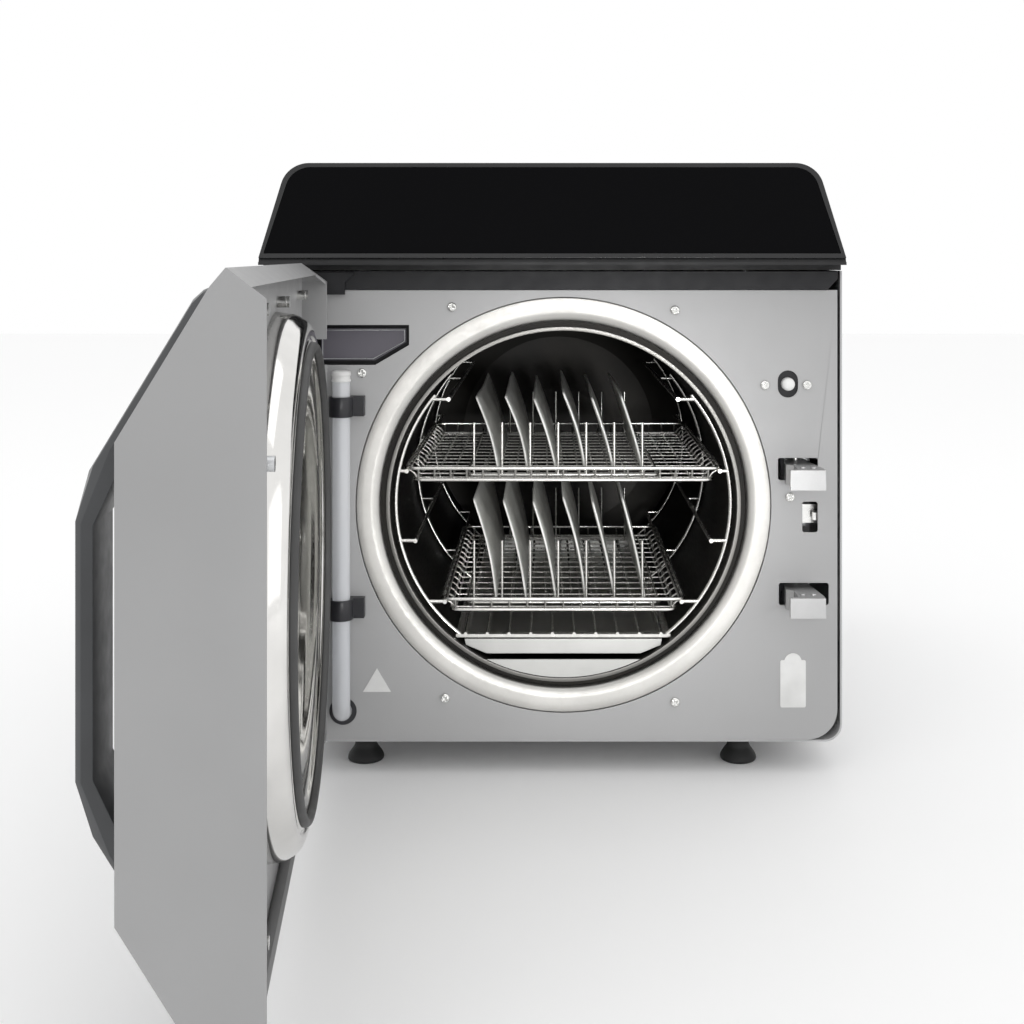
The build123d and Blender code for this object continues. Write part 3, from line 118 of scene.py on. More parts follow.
def noise(made, scale, stretch=(1, 1, 1), detail=4.0):
    """Noise in the object's own coordinates, optionally stretched along an axis."""
    tree = made.node_tree
    place = tree.nodes.new("ShaderNodeTexCoord")
    mapping = tree.nodes.new("ShaderNodeMapping")
    mapping.inputs["Scale"].default_value = stretch
    texture = tree.nodes.new("ShaderNodeTexNoise")
    texture.inputs["Scale"].default_value = scale
    texture.inputs["Detail"].default_value = detail
    tree.links.new(place.outputs["Object"], mapping.inputs["Vector"])
    tree.links.new(mapping.outputs["Vector"], texture.inputs["Vector"])
    return texture


def vary(made, socket, texture, dark, light, spread=(0.3, 0.7)):
    """Drives a shader socket between two values with a texture."""
    tree = made.node_tree
    ramp = tree.nodes.new("ShaderNodeValToRGB")
    ramp.color_ramp.elements[0].position = spread[0]
    ramp.color_ramp.elements[1].position = spread[1]
    if isinstance(dark, tuple):
        ramp.color_ramp.elements[0].color = (*dark, 1)
        ramp.color_ramp.elements[1].color = (*light, 1)
    else:
        ramp.color_ramp.elements[0].color = (dark, dark, dark, 1)
        ramp.color_ramp.elements[1].color = (light, light, light, 1)
    tree.links.new(texture.outputs["Fac"], ramp.inputs["Fac"])
    tree.links.new(ramp.outputs["Color"], tree.nodes["Principled BSDF"].inputs[socket])


def bump(made, texture, strength, depth):
    """Raises the surface with a texture."""
    tree = made.node_tree
    node = tree.nodes.new("ShaderNodeBump")
    node.inputs["Strength"].default_value = strength
    node.inputs["Distance"].default_value = depth
    tree.links.new(texture.outputs["Fac"], node.inputs["Height"])
    tree.links.new(node.outputs["Normal"], tree.nodes["Principled BSDF"].inputs["Normal"])


def scaled(colour, factor):
    """A colour made lighter or darker."""
    return tuple(min(1.0, channel * factor) for channel in colour)


def paint(name, colour, roughness=0.42):
    """Powder coat: faint orange peel and a slow drift of tone."""
    made = new_material(name, colour, roughness, Coat_Weight=0.15, Coat_Roughness=0.3)
    drift = noise(made, 9, detail=2.0)
    vary(made, "Base Color", drift, scaled(colour, 0.965), scaled(colour, 1.03))
    vary(made, "Roughness", noise(made, 60), roughness - 0.05, roughness + 0.05)
    bump(made, noise(made, 1400, detail=2.0), 0.10, 0.0002)
    return made


def plastic(name, colour, roughness=0.5, grain=900.0, strength=0.15):
    """Moulded plastic with a fine grain."""
    made = new_material(name, colour, roughness)
    vary(made, "Base Color", noise(made, 30), scaled(colour, 0.88), scaled(colour, 1.1))
    vary(made, "Roughness", noise(made, 90), max(0.05, roughness - 0.06), roughness + 0.06)
    bump(made, noise(made, grain), strength, 0.0002)
    return made


def metal(name, colour, roughness, stretch=(1, 1, 1), scale=500.0, strength=0.06):
    """Metal with fine grain, or with brush lines along the axis that is stretched least."""
    made = new_material(name, colour, roughness, 1.0)
    lines = noise(made, scale, stretch, detail=3.0)
    vary(made, "Roughness", lines, max(0.03, roughness - 0.05), roughness + 0.07)
    vary(made, "Base Color", noise(made, 25), scaled(colour, 0.92), scaled(colour, 1.05))
    bump(made, lines, strength, 0.0001)
    return made


CASE = paint("case powder coat", (0.47, 0.47, 0.475))
PANEL = paint("panel powder coat", (0.40, 0.40, 0.402), 0.45)
DOOR_PAINT = paint("door powder coat", (0.33, 0.33, 0.332), 0.45)
CONSOLE = plastic("console plastic", (0.010, 0.010, 0.011), 0.5)
BAND = plastic("band plastic", (0.009, 0.009, 0.011), 0.6)
FRAME_GLOSS = plastic("frame gloss", (0.012, 0.012, 0.013), 0.25, strength=0.03)
CLIP = plastic("clip nylon", (0.02, 0.02, 0.024), 0.35)
WHITE = plastic("white plastic", (0.75, 0.75, 0.74), 0.35, strength=0.05)
POCKET = paint("pocket plate", (0.115, 0.108, 0.13), 0.5)
HANDLE = plastic("handle plastic", (0.045, 0.047, 0.05), 0.36, strength=0.02)
RUBBER = plastic("black rubber", (0.012, 0.012, 0.012), 0.65, 700.0, 0.3)
GASKET = plastic("gasket rubber", (0.055, 0.055, 0.055), 0.55, 700.0, 0.15)
ZINC = metal("zinc steel", (0.62, 0.63, 0.64), 0.32)
CAST = metal("cast latch", (0.50, 0.50, 0.50), 0.42, scale=900.0, strength=0.25)
WIRE = metal("wire steel", (0.80, 0.79, 0.76), 0.22)
MESH = metal("mesh wire", (0.46, 0.45, 0.43), 0.28)
POLISHED = metal("polished steel", (0.80, 0.79, 0.77), 0.10, strength=0.02)
MOUTH = metal("mouth steel", (0.56, 0.552, 0.53), 0.44, scale=350.0, strength=0.05)
LIP = metal("lip steel", (0.20, 0.195, 0.185), 0.35, strength=0.02)
# Painted shade: the chamber's steel is given a near-black colour for the dark inside of the deep
# chamber, not the tone of its steel.
SHADED_CHAMBER = new_material("chamber steel painted dark as shade", (0.012, 0.011, 0.009), 0.5, 0.5)
vary(SHADED_CHAMBER, "Roughness", noise(SHADED_CHAMBER, 60.0, (40, 1, 40)), 0.45, 0.60)
vary(SHADED_CHAMBER, "Base Color", noise(SHADED_CHAMBER, 14), (0.008, 0.007, 0.006), (0.018, 0.016, 0.013))
bump(SHADED_CHAMBER, noise(SHADED_CHAMBER, 60.0, (40, 1, 40)), 0.10, 0.0001)
TRAY = metal("tray aluminium", (0.50, 0.50, 0.485), 0.42, (1, 30, 30), 60.0, 0.06)
BRASS = metal("brass", (0.70, 0.52, 0.25), 0.25)
SCREW = metal("screw steel", (0.82, 0.82, 0.80), 0.18)
BOARD = plastic("circuit board", (0.01, 0.08, 0.03), 0.35)
FELT = plastic("glass felt", (0.55, 0.53, 0.48), 0.95, 300.0, 0.9)

GLASS = new_material("black touch glass", (0.002, 0.002, 0.0025), 0.06, Specular_IOR_Level=0.05)
vary(GLASS, "Roughness", noise(GLASS, 12), 0.045, 0.075)

TUBE = new_material(
    "silicone tube", (0.88, 0.90, 0.93), 0.22, Transmission_Weight=0.35, IOR=1.41, Coat_Weight=0.4
)
vary(TUBE, "Base Color", noise(TUBE, 30, (1, 1, 0.2)), (0.84, 0.86, 0.90), (0.92, 0.93, 0.95))

PACK = new_material("pack paper and film", (0.85, 0.85, 0.82), 0.36, Coat_Weight=0.3)
vary(PACK, "Base Color", noise(PACK, 45, (1, 0.35, 1)), (0.66, 0.66, 0.63), (0.93, 0.93, 0.90))
bump(PACK, noise(PACK, 160, (1, 0.5, 1)), 0.35, 0.001)

# The CAD nodes that stay visible, and the look of each.
NODE_LOOKS = {
    "case_wrap": CASE,
    "base_pan": ZINC,
    "rear_panel": CASE,
    "front_panel": PANEL,
    "seal_band": BAND,
    "console_housing": CONSOLE,
    "fascia_frame": FRAME_GLOSS,
    "fascia_glass": GLASS,
    "chamber": SHADED_CHAMBER,
    "insulation": FELT,
    "heater_bands": ZINC,
    "saddles": ZINC,
    "sill_plate": TRAY,
    "tube_clips": CLIP,
    "recess_pan": BAND,
    "recess_plate": POCKET,
    "label_plates": WHITE,
    "hinge_arms": ZINC,
    "hinge_pins": SCREW,
    "switch_guide": BAND,
    "lock_tongue": SCREW,
    "latch_bracket": ZINC,
    "latch_shaft": SCREW,
    "lower_hook": CAST,
    "upper_hook": CAST,
    "reservoir_tank": WHITE,
    "fill_lid": CONSOLE,
    "condenser_coil": TRAY,
    "fan_frame": BAND,
    "fan_rotor": BAND,
    "power_inlet": BAND,
    "power_rocker": BAND,
    "safety_valve": BRASS,
    "valve_ring": SCREW,
    "drain_port": BRASS,
    "water_pump": ZINC,
    "control_board": BOARD,
    "chamber_rack": WIRE,
    "bottom_tray": TRAY,
    "door_shell": DOOR_PAINT,
    "door_inner_plate": DOOR_PAINT,
    "door_bridge": ZINC,
    "door_strikes": ZINC,
    "door_screws": SCREW,
    "door_lugs": ZINC,
}
# Width of the rounded edges, in millimetres.
BEVELS = {
    "case_wrap": 0.5,
    "front_panel": 0.45,
    "recess_pan": 0.3,
    "recess_plate": 0.4,
    "console_housing": 0.9,
    "fascia_frame": 0.6,
    "fascia_glass": 0.4,
    "lower_hook": 0.9,
    "upper_hook": 0.9,
    "tube_clips": 0.7,
    "door_shell": 0.9,
    "door_inner_plate": 0.35,
    "bottom_tray": 0.35,
    "sill_plate": 0.3,
    "fill_lid": 0.8,
    "door_strikes": 0.3,
    "hinge_arms": 0.8,
    "power_inlet": 0.5,
    "power_rocker": 0.6,
    "rear_panel": 0.3,
    "door_lugs": 0.5,
}


def soften(piece, width_mm):
    """Rounds a hard-edged piece's edges by a small width."""
    weld = piece.modifiers.new("weld", "WELD")
    weld.merge_threshold = 0.00002
    bevel = piece.modifiers.new("edges", "BEVEL")
    bevel.width = width_mm * MM
    bevel.segments = 2
    bevel.limit_method = "ANGLE"
    bevel.angle_limit = math.radians(40)
    bevel.use_clamp_overlap = True
    bevel.harden_normals = True


for node_name, look in NODE_LOOKS.items():
    node = nodes[node_name]
    node.data.materials.clear()
    node.data.materials.append(look)
for node_name, width in BEVELS.items():
    soften(nodes[node_name], width)


# ---- mesh helpers -------------------------------------------------------------------------
def add_piece(name, mesh, look, body, *replaced, slot):
    """Links a mesh or curve as a piece that rides on a body and may stand for CAD nodes."""
    piece = bpy.data.objects.new(name, mesh)
    bpy.context.scene.collection.objects.link(piece)
    mesh.materials.append(look)
    if isinstance(mesh, bpy.types.Mesh):
        mesh.shade_smooth()
    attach(piece, body)
    if replaced:
        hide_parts(*replaced)
    return piece


def in_metres(profile):
    """A profile given in millimetres, in metres."""
    return [(x * MM, y * MM) for x, y in profile]


def rounded_profile(points, radius, steps=4):
    """Rounds the corners of an open profile of (x, y) points by quadratic blends."""
    made = [Vector(points[0])]
    for before, corner, after in zip(points, points[1:], points[2:]):
        before, corner, after = Vector(before), Vector(corner), Vector(after)
        reach = min(radius, (before - corner).length * 0.45, (after - corner).length * 0.45)
        start = corner + (before - corner).normalized() * reach
        end = corner + (after - corner).normalized() * reach
        for step in range(steps + 1):
            t = step / steps
            made.append(start * (1 - t) ** 2 + corner * 2 * t * (1 - t) + end * t**2)
    made.append(Vector(points[-1]))
    return made


def turned(name, profile, place, steps=RING_STEPS, closed=True):
    """Mesh made by turning a (radius, height) profile round the local z axis of a place."""
    shape = bmesh.new()
    rings = []
    for step in range(steps):
        turn = 2 * math.pi * step / steps
        ring = []
        for radius, height in profile:
            spot = Vector((radius * math.cos(turn), radius * math.sin(turn), height))
            ring.append(shape.verts.new(place @ spot))
        rings.append(ring)
    count = len(profile)
    for step in range(steps):
        here, there = rings[step], rings[(step + 1) % steps]
        for i in range(count if closed else count - 1):
            j = (i + 1) % count
            shape.faces.new((here[i], here[j], there[j], there[i]))
    bmesh.ops.remove_doubles(shape, verts=shape.verts, dist=0.000005)
    bmesh.ops.recalc_face_normals(shape, faces=shape.faces)
    mesh = bpy.data.meshes.new(name)
    shape.to_mesh(mesh)
    shape.free()
    return mesh


def closed_profile(points, radius, steps=4):
    """Rounds every corner of a closed profile."""
    loop = [points[-1], *points, points[0]]
    return rounded_profile(loop, radius, steps)[1:-1]


def wires(name, paths, radius, resolution=3):
    """Curve made of round wires along straight-sided paths; a path may be closed."""
    curve = bpy.data.curves.new(name, "CURVE")
    curve.dimensions = "3D"
    curve.bevel_depth = radius
    curve.bevel_resolution = resolution
    curve.use_fill_caps = True
    for points, closed in paths:
        spline = curve.splines.new("POLY")
        spline.points.add(len(points) - 1)
        for point, spot in zip(spline.points, points):
            point.co = (*spot, 1)
        spline.use_cyclic_u = closed
    return curve


def rounded_loop(x0, x1, y0, y1, z, radius, steps=6):
    """Closed loop of points round a rectangle with round corners."""
    loop = []
    corners = ((x1, y1, 0), (x0, y1, 90), (x0, y0, 180), (x1, y0, 270))
    for end_x, end_y, start in corners:
        mid_x = end_x - radius if end_x == x1 else end_x + radius
        mid_y = end_y - radius if end_y == y1 else end_y + radius
        for step in range(steps + 1):
            turn = math.radians(start + 90 * step / steps)
            x = mid_x + radius * math.cos(turn)
            y = mid_y + radius * math.sin(turn)
            loop.append(Vector((x, y, z)))
    return loop


# ---- baskets ------------------------------------------------------------------------------
RIM_FLARE = 8.5 * MM  # how far the rim stands out past the basket's walls
RIM_WIRE = 1.5 * MM  # radius
MESH_WIRE = 0.85 * MM  # radius


def wire_basket(node_name, body, columns, rows):
    """A welded wire basket in the box of its CAD node, with a rim that flares out."""
    bottom, top = low(node_name), high(node_name)
    wall = RIM_FLARE
    thick = RIM_WIRE
    x0, x1 = bottom.x + wall, top.x - wall
    y0, y1 = bottom.y + thick, top.y - thick
    rim_z = top.z - thick
    floor_z = bottom.z + thick
    rim = rounded_loop(bottom.x + thick, top.x - thick, y0, y1, rim_z, 9 * MM)
    base = rounded_loop(x0, x1, y0 + 2 * MM, y1 - 2 * MM, floor_z, 7 * MM)
    heavy = [(rim, True), (base, True)]
    fine = []
    for column in range(columns + 1):
        x = x0 + 4 * MM + (x1 - x0 - 8 * MM) * column / columns
        path = [
            Vector((x, y0 - 0.3 * MM, rim_z)),
            Vector((x, y0 + 1.0 * MM, floor_z + 2 * MM)),
            Vector((x, y0 + 3.5 * MM, floor_z)),
            Vector((x, y1 - 3.5 * MM, floor_z)),
            Vector((x, y1 - 1.0 * MM, floor_z + 2 * MM)),
            Vector((x, y1 + 0.3 * MM, rim_z)),
        ]
        fine.append((path, False))
    for row in range(rows + 1):
        y = y0 + 6 * MM + (y1 - y0 - 12 * MM) * row / rows
        path = [
            Vector((bottom.x + thick, y, rim_z)),
            Vector((x0, y, floor_z + 5 * MM)),
            Vector((x0 + 3 * MM, y, floor_z + 1.2 * MM)),
            Vector((x1 - 3 * MM, y, floor_z + 1.2 * MM)),
            Vector((x1, y, floor_z + 5 * MM)),
            Vector((top.x - thick, y, rim_z)),
        ]
        fine.append((path, False))
    kinds = (("frame", heavy, RIM_WIRE, WIRE), ("mesh", fine, MESH_WIRE, MESH))
    for kind, paths, radius, look in kinds:
        name = f"{node_name}_{kind}"
        curve = wires(name, paths, radius)
        add_piece(name, curve, look, body, node_name, slot="wire_steel")


wire_basket("upper_basket", "upper_load", columns=18, rows=14)
wire_basket("lower_basket", "lower_load", columns=12, rows=14)


DIVIDER_WIRE = 1.0 * MM  # radius
FIRST_WIRE = 6.8 * MM  # from the divider's left end to its first wire
WIRES_SHORT = 21.5 * MM  # how much shorter the row of wires is than the divider


def wire_divider(node_name, body, count=7):
    """Upright wires in a row at the front and at the back of a base loop."""
    bottom, top = low(node_name), high(node_name)
    thick = DIVIDER_WIRE
    base = bottom.z + 1.2 * MM
    pitch = (top.x - bottom.x - WIRES_SHORT) / (count - 1)
    x0, x1 = bottom.x + thick, top.x - thick
    y0, y1 = bottom.y + thick, top.y - thick
    paths = [(rounded_loop(x0, x1, y0, y1, base, 5 * MM), True)]
    for number in range(count):
        x = bottom.x + FIRST_WIRE + pitch * number
        for y in (bottom.y + 1.2 * MM, top.y - 1.2 * MM):
            paths.append(([Vector((x, y, base)), Vector((x, y, top.z - thick))], False))
    name = f"{node_name}_wires"
    add_piece(name, wires(name, paths, thick), WIRE, body, node_name, slot="wire_steel")


wire_divider("upper_divider", "upper_load")
wire_divider("lower_divider", "lower_load")


# ---- packs --------------------------------------------------------------------------------
PACK_LEAN = 19 * MM  # how far a pack's top lies left of its foot
PACK_ROOM = 2.25 * MM  # kept free at each end of the row
PACK_THICKNESS = 2.2 * MM


def packs(node_name, body, count, sag):
    """Curved instrument packs that lean over, each bulged and rippled a little differently."""
    bottom, top = low(node_name), high(node_name)
    lean = PACK_LEAN
    span = top.x - bottom.x - lean - 2 * PACK_ROOM
    pitch = span / (count - 1)
    length = top.y - bottom.y
    height = top.z - bottom.z
    rows, columns = 14, 24
    for number in range(count):
        foot = top.x - PACK_ROOM - span + pitch * number
        bulge = (3.2 + 1.1 * math.sin(number * 2.3 + sag)) * MM
        shorter = 1 - 0.05 * abs(math.sin(number * 1.7 + sag * 3))
        shape = bmesh.new()
        grid = []
        for i in range(rows + 1):
            v = i / rows
            line = []
            for j in range(columns + 1):
                w = j / columns
                edge = min(1.0, 9 * min(w, 1 - w, v + 0.02, 1 - v))
                swell = bulge * math.sin(math.pi * v)
                curve = -lean * v + swell * (0.7 + 0.3 * math.sin(5 * w + number))
                ripple = 0.5 * MM * math.sin(17 * w + 6 * v + number) * edge
                dip = 2.5 * MM * v * math.sin(3 * w + number) ** 2
                x = foot + curve + ripple
                y = bottom.y + length * (0.01 + 0.98 * w) + 1.5 * MM * math.sin(4 * v + number)
                z = bottom.z + height * shorter * v - dip
                line.append(shape.verts.new((x, y, z)))
            grid.append(line)
        for i in range(rows):
            for j in range(columns):
                here, there = grid[i], grid[i + 1]
                shape.faces.new((here[j], here[j + 1], there[j + 1], there[j]))
        name = f"{node_name}_{number}"
        mesh = bpy.data.meshes.new(name)
        shape.to_mesh(mesh)
        shape.free()
        piece = add_piece(name, mesh, PACK, body, node_name, slot="pouch_paper")
        thickness = piece.modifiers.new("thickness", "SOLIDIFY")
        thickness.thickness = PACK_THICKNESS
        thickness.offset = 0
        smooth = piece.modifiers.new("smooth", "SUBSURF")
        smooth.levels = 1
        smooth.render_levels = 1


packs("upper_pouches", "upper_load", count=6, sag=0.4)
packs("lower_pouches", "lower_load", count=6, sag=1.3)

# ---- turned rings -------------------------------------------------------------------------
# Profiles are (radius, height) in millimetres, with heights along the place's z axis.
MOUTH_PROFILE = [
    (166.5, 0.5),
    (162.0, 0.3),
    (154.0, 0.6),
    (149.8, 2.0),
    (147.6, 4.4),
    (147.2, 8.4),
    (162.0, 8.4),
    (162.5, 3.4),
    (166.4, 2.2),
]

mouth_outline = closed_profile(in_metres(MOUTH_PROFILE), 1.6 * MM)
mouth_mesh = turned("mouth_ring_turned", mouth_outline, MOUTH_FRAME)
add_piece("mouth_ring_turned", mouth_mesh, MOUTH, "cabinet", "mouth_ring", slot="bright_steel")

LIP_PROFILE = [(139.9, 2.75), (142.9, 2.75), (142.9, 3.4), (139.9, 3.4)]
lip_outline = closed_profile(in_metres(LIP_PROFILE), 0.2 * MM, 3)
lip_mesh = turned("chamber_lip", lip_outline, MOUTH_FRAME)
add_piece("chamber_lip", lip_mesh, LIP, "cabinet", slot="bright_steel")

DOOR_RING_FACE = [
    (0.0, 12.0),
    (60.0, 11.6),
    (92.0, 9.6),
    (108.0, 4.8),
    (116.0, 0.2),
    (121.5, -1.6),
    (127.0, -0.2),
    (131.0, -0.2),
    (135.5, -1.6),
    (138.6, -4.4),
    (146.5, -4.5),
    (148.2, -2.6),
    (150.4, -4.5),
    (154.0, -4.5),
    (158.5, -2.4),
    (163.0, 4.5),
    (165.0, 16.8),
]
DOOR_RING_BACK = [
    (162.4, 16.8),
    (161.0, 7.5),
    (156.5, 0.6),
    (139.5, -2.0),
    (134.0, 1.4),
    (112.0, 7.0),
    (90.0, 12.6),
    (0.0, 14.4),
]
ring_outline = rounded_profile(in_metres(DOOR_RING_FACE), 3.2 * MM)
ring_outline += [Vector(point) for point in in_metres(DOOR_RING_BACK)]
ring_mesh = turned("door_ring_turned", ring_outline, RING_FRAME, closed=False)
add_piece("door_ring_turned", ring_mesh, POLISHED, "door", "door_ring", slot="bright_steel")

GASKET_PROFILE = [
    (139.9, -4.4),
    (140.2, -7.0),
    (141.6, -8.6),
    (144.2, -8.6),
    (145.6, -7.0),
    (145.9, -4.4),
]
gasket_outline = closed_profile(in_metres(GASKET_PROFILE), 1.0 * MM, 3)
gasket_mesh = turned("door_gasket_turned", gasket_outline, RING_FRAME)
add_piece("door_gasket_turned", gasket_mesh, GASKET, "door", "door_gasket", slot="rubber_black")


# ---- feet ---------------------------------------------------------------------------------
FOOT_PROFILE = [
    (0.0, 0.0),
    (14.2, 0.0),
    (15.0, 1.6),
    (14.4, 4.2),
    (11.6, 8.4),
    (9.6, 11.0),
    (8.9, 13.6),
    (9.3, 16.5),
    (11.2, 20.5),
    (11.5, 25.2),
    (4.0, 25.3),
    (4.0, 34.8),
    (0.0, 34.8),
]
FOOT_R = 15 * MM
foot_low, foot_high = low("feet"), high("feet")
foot_outline = rounded_profile(in_metres(FOOT_PROFILE), 1.4 * MM)
for foot_x in (foot_low.x + FOOT_R, foot_high.x - FOOT_R):
    for foot_y in (foot_low.y + FOOT_R, foot_high.y - FOOT_R):
        spot = Matrix.Translation(Vector((foot_x, foot_y, 0)))
        name = f"foot_{'right' if foot_x > 0 else 'left'}_{'back' if foot_y > 0 else 'front'}"
        foot_mesh = turned(name, foot_outline, spot, SMALL_STEPS, closed=False)
        add_piece(name, foot_mesh, RUBBER, "cabinet", "feet", slot="rubber_black")


# ---- screws -------------------------------------------------------------------------------
CROSS_ARM = 0.17  # half width of the cross recess, as a share of the head's radius
CROSS_REACH = 0.62  # length of its arms, as a share of the head's radius


def pan_head(name, place, radius, height, body, *replaced):
    """Pan head with a cross recess pressed into its crown."""
    shape = bmesh.new()
    steps, rings = 48, 12
    grid = []
    for i in range(rings + 1):
        share = i / rings
        line = []
        for step in range(steps):
            turn = 2 * math.pi * step / steps
            reach = radius * share
            x, y = reach * math.cos(turn), reach * math.sin(turn)
            z = height * (1 - share**4 * 0.55)
            arm = min(abs(x), abs(y))
            along = max(abs(x), abs(y))
            if arm < CROSS_ARM * radius and along < CROSS_REACH * radius:
                z -= height * 0.6 * (1 - 0.6 * along / (CROSS_REACH * radius))
            line.append(shape.verts.new(place @ Vector((x, y, z))))
        grid.append(line)
    skirt = []
    for step in range(steps):
        turn = 2 * math.pi * step / steps
        spot = Vector((radius * math.cos(turn), radius * math.sin(turn), 0))
        skirt.append(shape.verts.new(place @ spot))
    grid.append(skirt)
    for i in range(rings + 1):
        for step in range(steps):
            after = (step + 1) % steps
            here, there = grid[i], grid[i + 1]
            shape.faces.new((here[step], here[after], there[after], there[step]))
    shape.faces.new(skirt)
    bmesh.ops.remove_doubles(shape, verts=shape.verts, dist=0.000004)
    bmesh.ops.recalc_face_normals(shape, faces=shape.faces)
    mesh = bpy.data.meshes.new(name)
    shape.to_mesh(mesh)
    shape.free()
    add_piece(name, mesh, SCREW, body, *replaced, slot="bright_steel")


def islands(node):
    """Middles of a CAD node's loose pieces, in order along x and then z."""
    shape = bmesh.new()
    shape.from_mesh(nodes[node].data)
    bmesh.ops.remove_doubles(shape, verts=shape.verts, dist=0.00001)
    left = set(shape.verts)
    found = []
    while left:
        seed = left.pop()
        group, edge = [seed], [seed]
        while edge:
            vert = edge.pop()
            for link in vert.link_edges:
                other = link.other_vert(vert)
                if other in left:
                    left.remove(other)
                    group.append(other)
                    edge.append(other)
        lows = Vector(min(v.co[i] for v in group) for i in range(3))
        highs = Vector(max(v.co[i] for v in group) for i in range(3))
        found.append((lows + highs) / 2)
    shape.free()
    return sorted(found, key=lambda middle: (round(middle.x, 4), round(middle.z, 4)))


for number, middle in enumerate(islands("panel_screws")):
    seat = axes(Vector((middle.x, FRONT_Y, middle.z)), RIGHT, UP, -BACK)
    place = seat @ Matrix.Rotation(0.7 * number, 4, "Z")  # each cross stands at its own angle
    pan_head(f"panel_screw_{number}", place, 3.8 * MM, 2.4 * MM, "cabinet", "panel_screws")

for number, middle in enumerate(islands("door_screws")):
    # From the shank's middle to the plate is half of the shank.
    half_shank = DOOR_PLATE_OUT - (middle - DOOR_ORIGIN).dot(OUTWARD)
    foot = middle + OUTWARD * half_shank
    place = axes(foot - OUTWARD * (2 * half_shank - 2.6 * MM), ACROSS, -UP, -OUTWARD)
    pan_head(f"door_screw_{number}", place, 3.6 * MM, 2.5 * MM, "door")

# ---- drain tube, its end cap and the switch button --------------------------------------------
TUBE_R = 7.2 * MM
TUBE_BEND = 9.5 * MM  # radius of the bend into the grommet, on the tube's middle line
BEND_STEPS = 12
GROMMET_Z = 50.6 * MM
tube_x = centre("drain_tube").x
tube_y = FRONT_Y - 10 * MM
tube_points = [
    Vector((tube_x, tube_y, high("drain_tube").z)),
    Vector((tube_x, tube_y, GROMMET_Z + TUBE_BEND + 40 * MM)),
]
for step in range(BEND_STEPS + 1):
    turn = math.radians(90 * step / BEND_STEPS)
    y = tube_y + TUBE_BEND - TUBE_BEND * math.cos(turn)
    z = GROMMET_Z + TUBE_BEND - TUBE_BEND * math.sin(turn)
    tube_points.append(Vector((tube_x, y, z)))
tube_points.append(Vector((tube_x, FRONT_Y + 15 * MM, GROMMET_Z)))
tube_curve = wires("drain_tube_run", [(tube_points, False)], TUBE_R, 10)
add_piece("drain_tube_run", tube_curve, TUBE, "cabinet", "drain_tube", slot="tube_silicone")

CAP_PROFILE = [
    (0, 0),
    (7.7, 0),
    (7.8, 1.2),
    (7.2, 2.0),
    (7.2, 4.4),
    (7.8, 5.2),
    (7.6, 7.8),
    (5.5, 9.0),
    (0, 9.0),
]
cap_place = Matrix.Translation(Vector((tube_x, tube_y, low("tube_fitting").z)))
cap_outline = rounded_profile(in_metres(CAP_PROFILE), 0.6 * MM, 3)
cap_mesh = turned("tube_end_cap", cap_outline, cap_place, SMALL_STEPS, closed=False)
add_piece("tube_end_cap", cap_mesh, WHITE, "cabinet", "tube_fitting", slot="white_plastic")

plunger = "switch_plunger"
BUTTON_PROFILE = [
    (0, 0),
    (2.5, 0.1),
    (4.3, 0.9),
    (5.2, 2.4),
    (5.3, 4.5),
    (5.3, 23.5),
    (0, 23.8),
]
button = centre(plunger)
button.y = low(plunger).y
button_outline = rounded_profile(in_metres(BUTTON_PROFILE), 0.8 * MM, 3)
button_place = axes(button, RIGHT, -UP, BACK)
button_mesh = turned("switch_button", button_outline, button_place, SMALL_STEPS, closed=False)
add_piece("switch_button", button_mesh, WHITE, "door_switch", plunger, slot="white_plastic")

# ---- painted highlight on the pocket plate's edge: a bright zinc line -----------------------
plate_low, plate_high = low("recess_plate"), high("recess_plate")
edge_y = plate_low.y - 0.2 * MM
edge = 1.2 * MM  # in from the plate's outline
corner_x = plate_high.x - 26.5 * MM
corner_z = plate_low.z + 15.2 * MM
highlight_points = [
    Vector((plate_low.x + edge, edge_y, plate_high.z - edge)),
    Vector((plate_high.x - edge, edge_y, plate_high.z - edge)),
    Vector((plate_high.x - edge, edge_y, corner_z)),
    Vector((corner_x, edge_y, plate_low.z + edge)),
    Vector((plate_low.x + edge, edge_y, plate_low.z + edge)),
]
# A zinc wire laid on the plate's face, just in from its outline, as a painted highlight of the
# plate's edge.
highlight_curve = wires("recess_edge_highlight", [(highlight_points, True)], 0.45 * MM)
add_piece("recess_edge_highlight", highlight_curve, ZINC, "cabinet", slot="pocket_plate")

# ---- handle -------------------------------------------------------------------------------
HANDLE_MIDDLE = 350 * MM  # across the door, from the hinge side
HANDLE_HALF = 23 * MM
# Points are (out from the rim plane, up), in millimetres, down to the handle's middle.
HANDLE_OUTER = [
    (28.2, 182.6),
    (33, 185.0),
    (39, 182.4),
    (44.4, 177.4),
    (50.8, 166.6),
    (96.6, 90),
    (102.8, 66),
]
HANDLE_INNER = [
    (28.6, 181.9),
    (31, 177.9),
    (34, 172.9),
    (38, 166.2),
    (44, 156.2),
    (68, 116.1),
    (91.8, 64),
]
# Section: share of the half width, and share of the way from the inner to the outer line.
HANDLE_SECTION = [
    (-1, 0.0),
    (-1, 0.55),
    (-0.86, 0.86),
    (-0.45, 1.0),
    (0.45, 1.0),
    (0.86, 0.86),
    (1, 0.55),
    (1, 0.0),
]


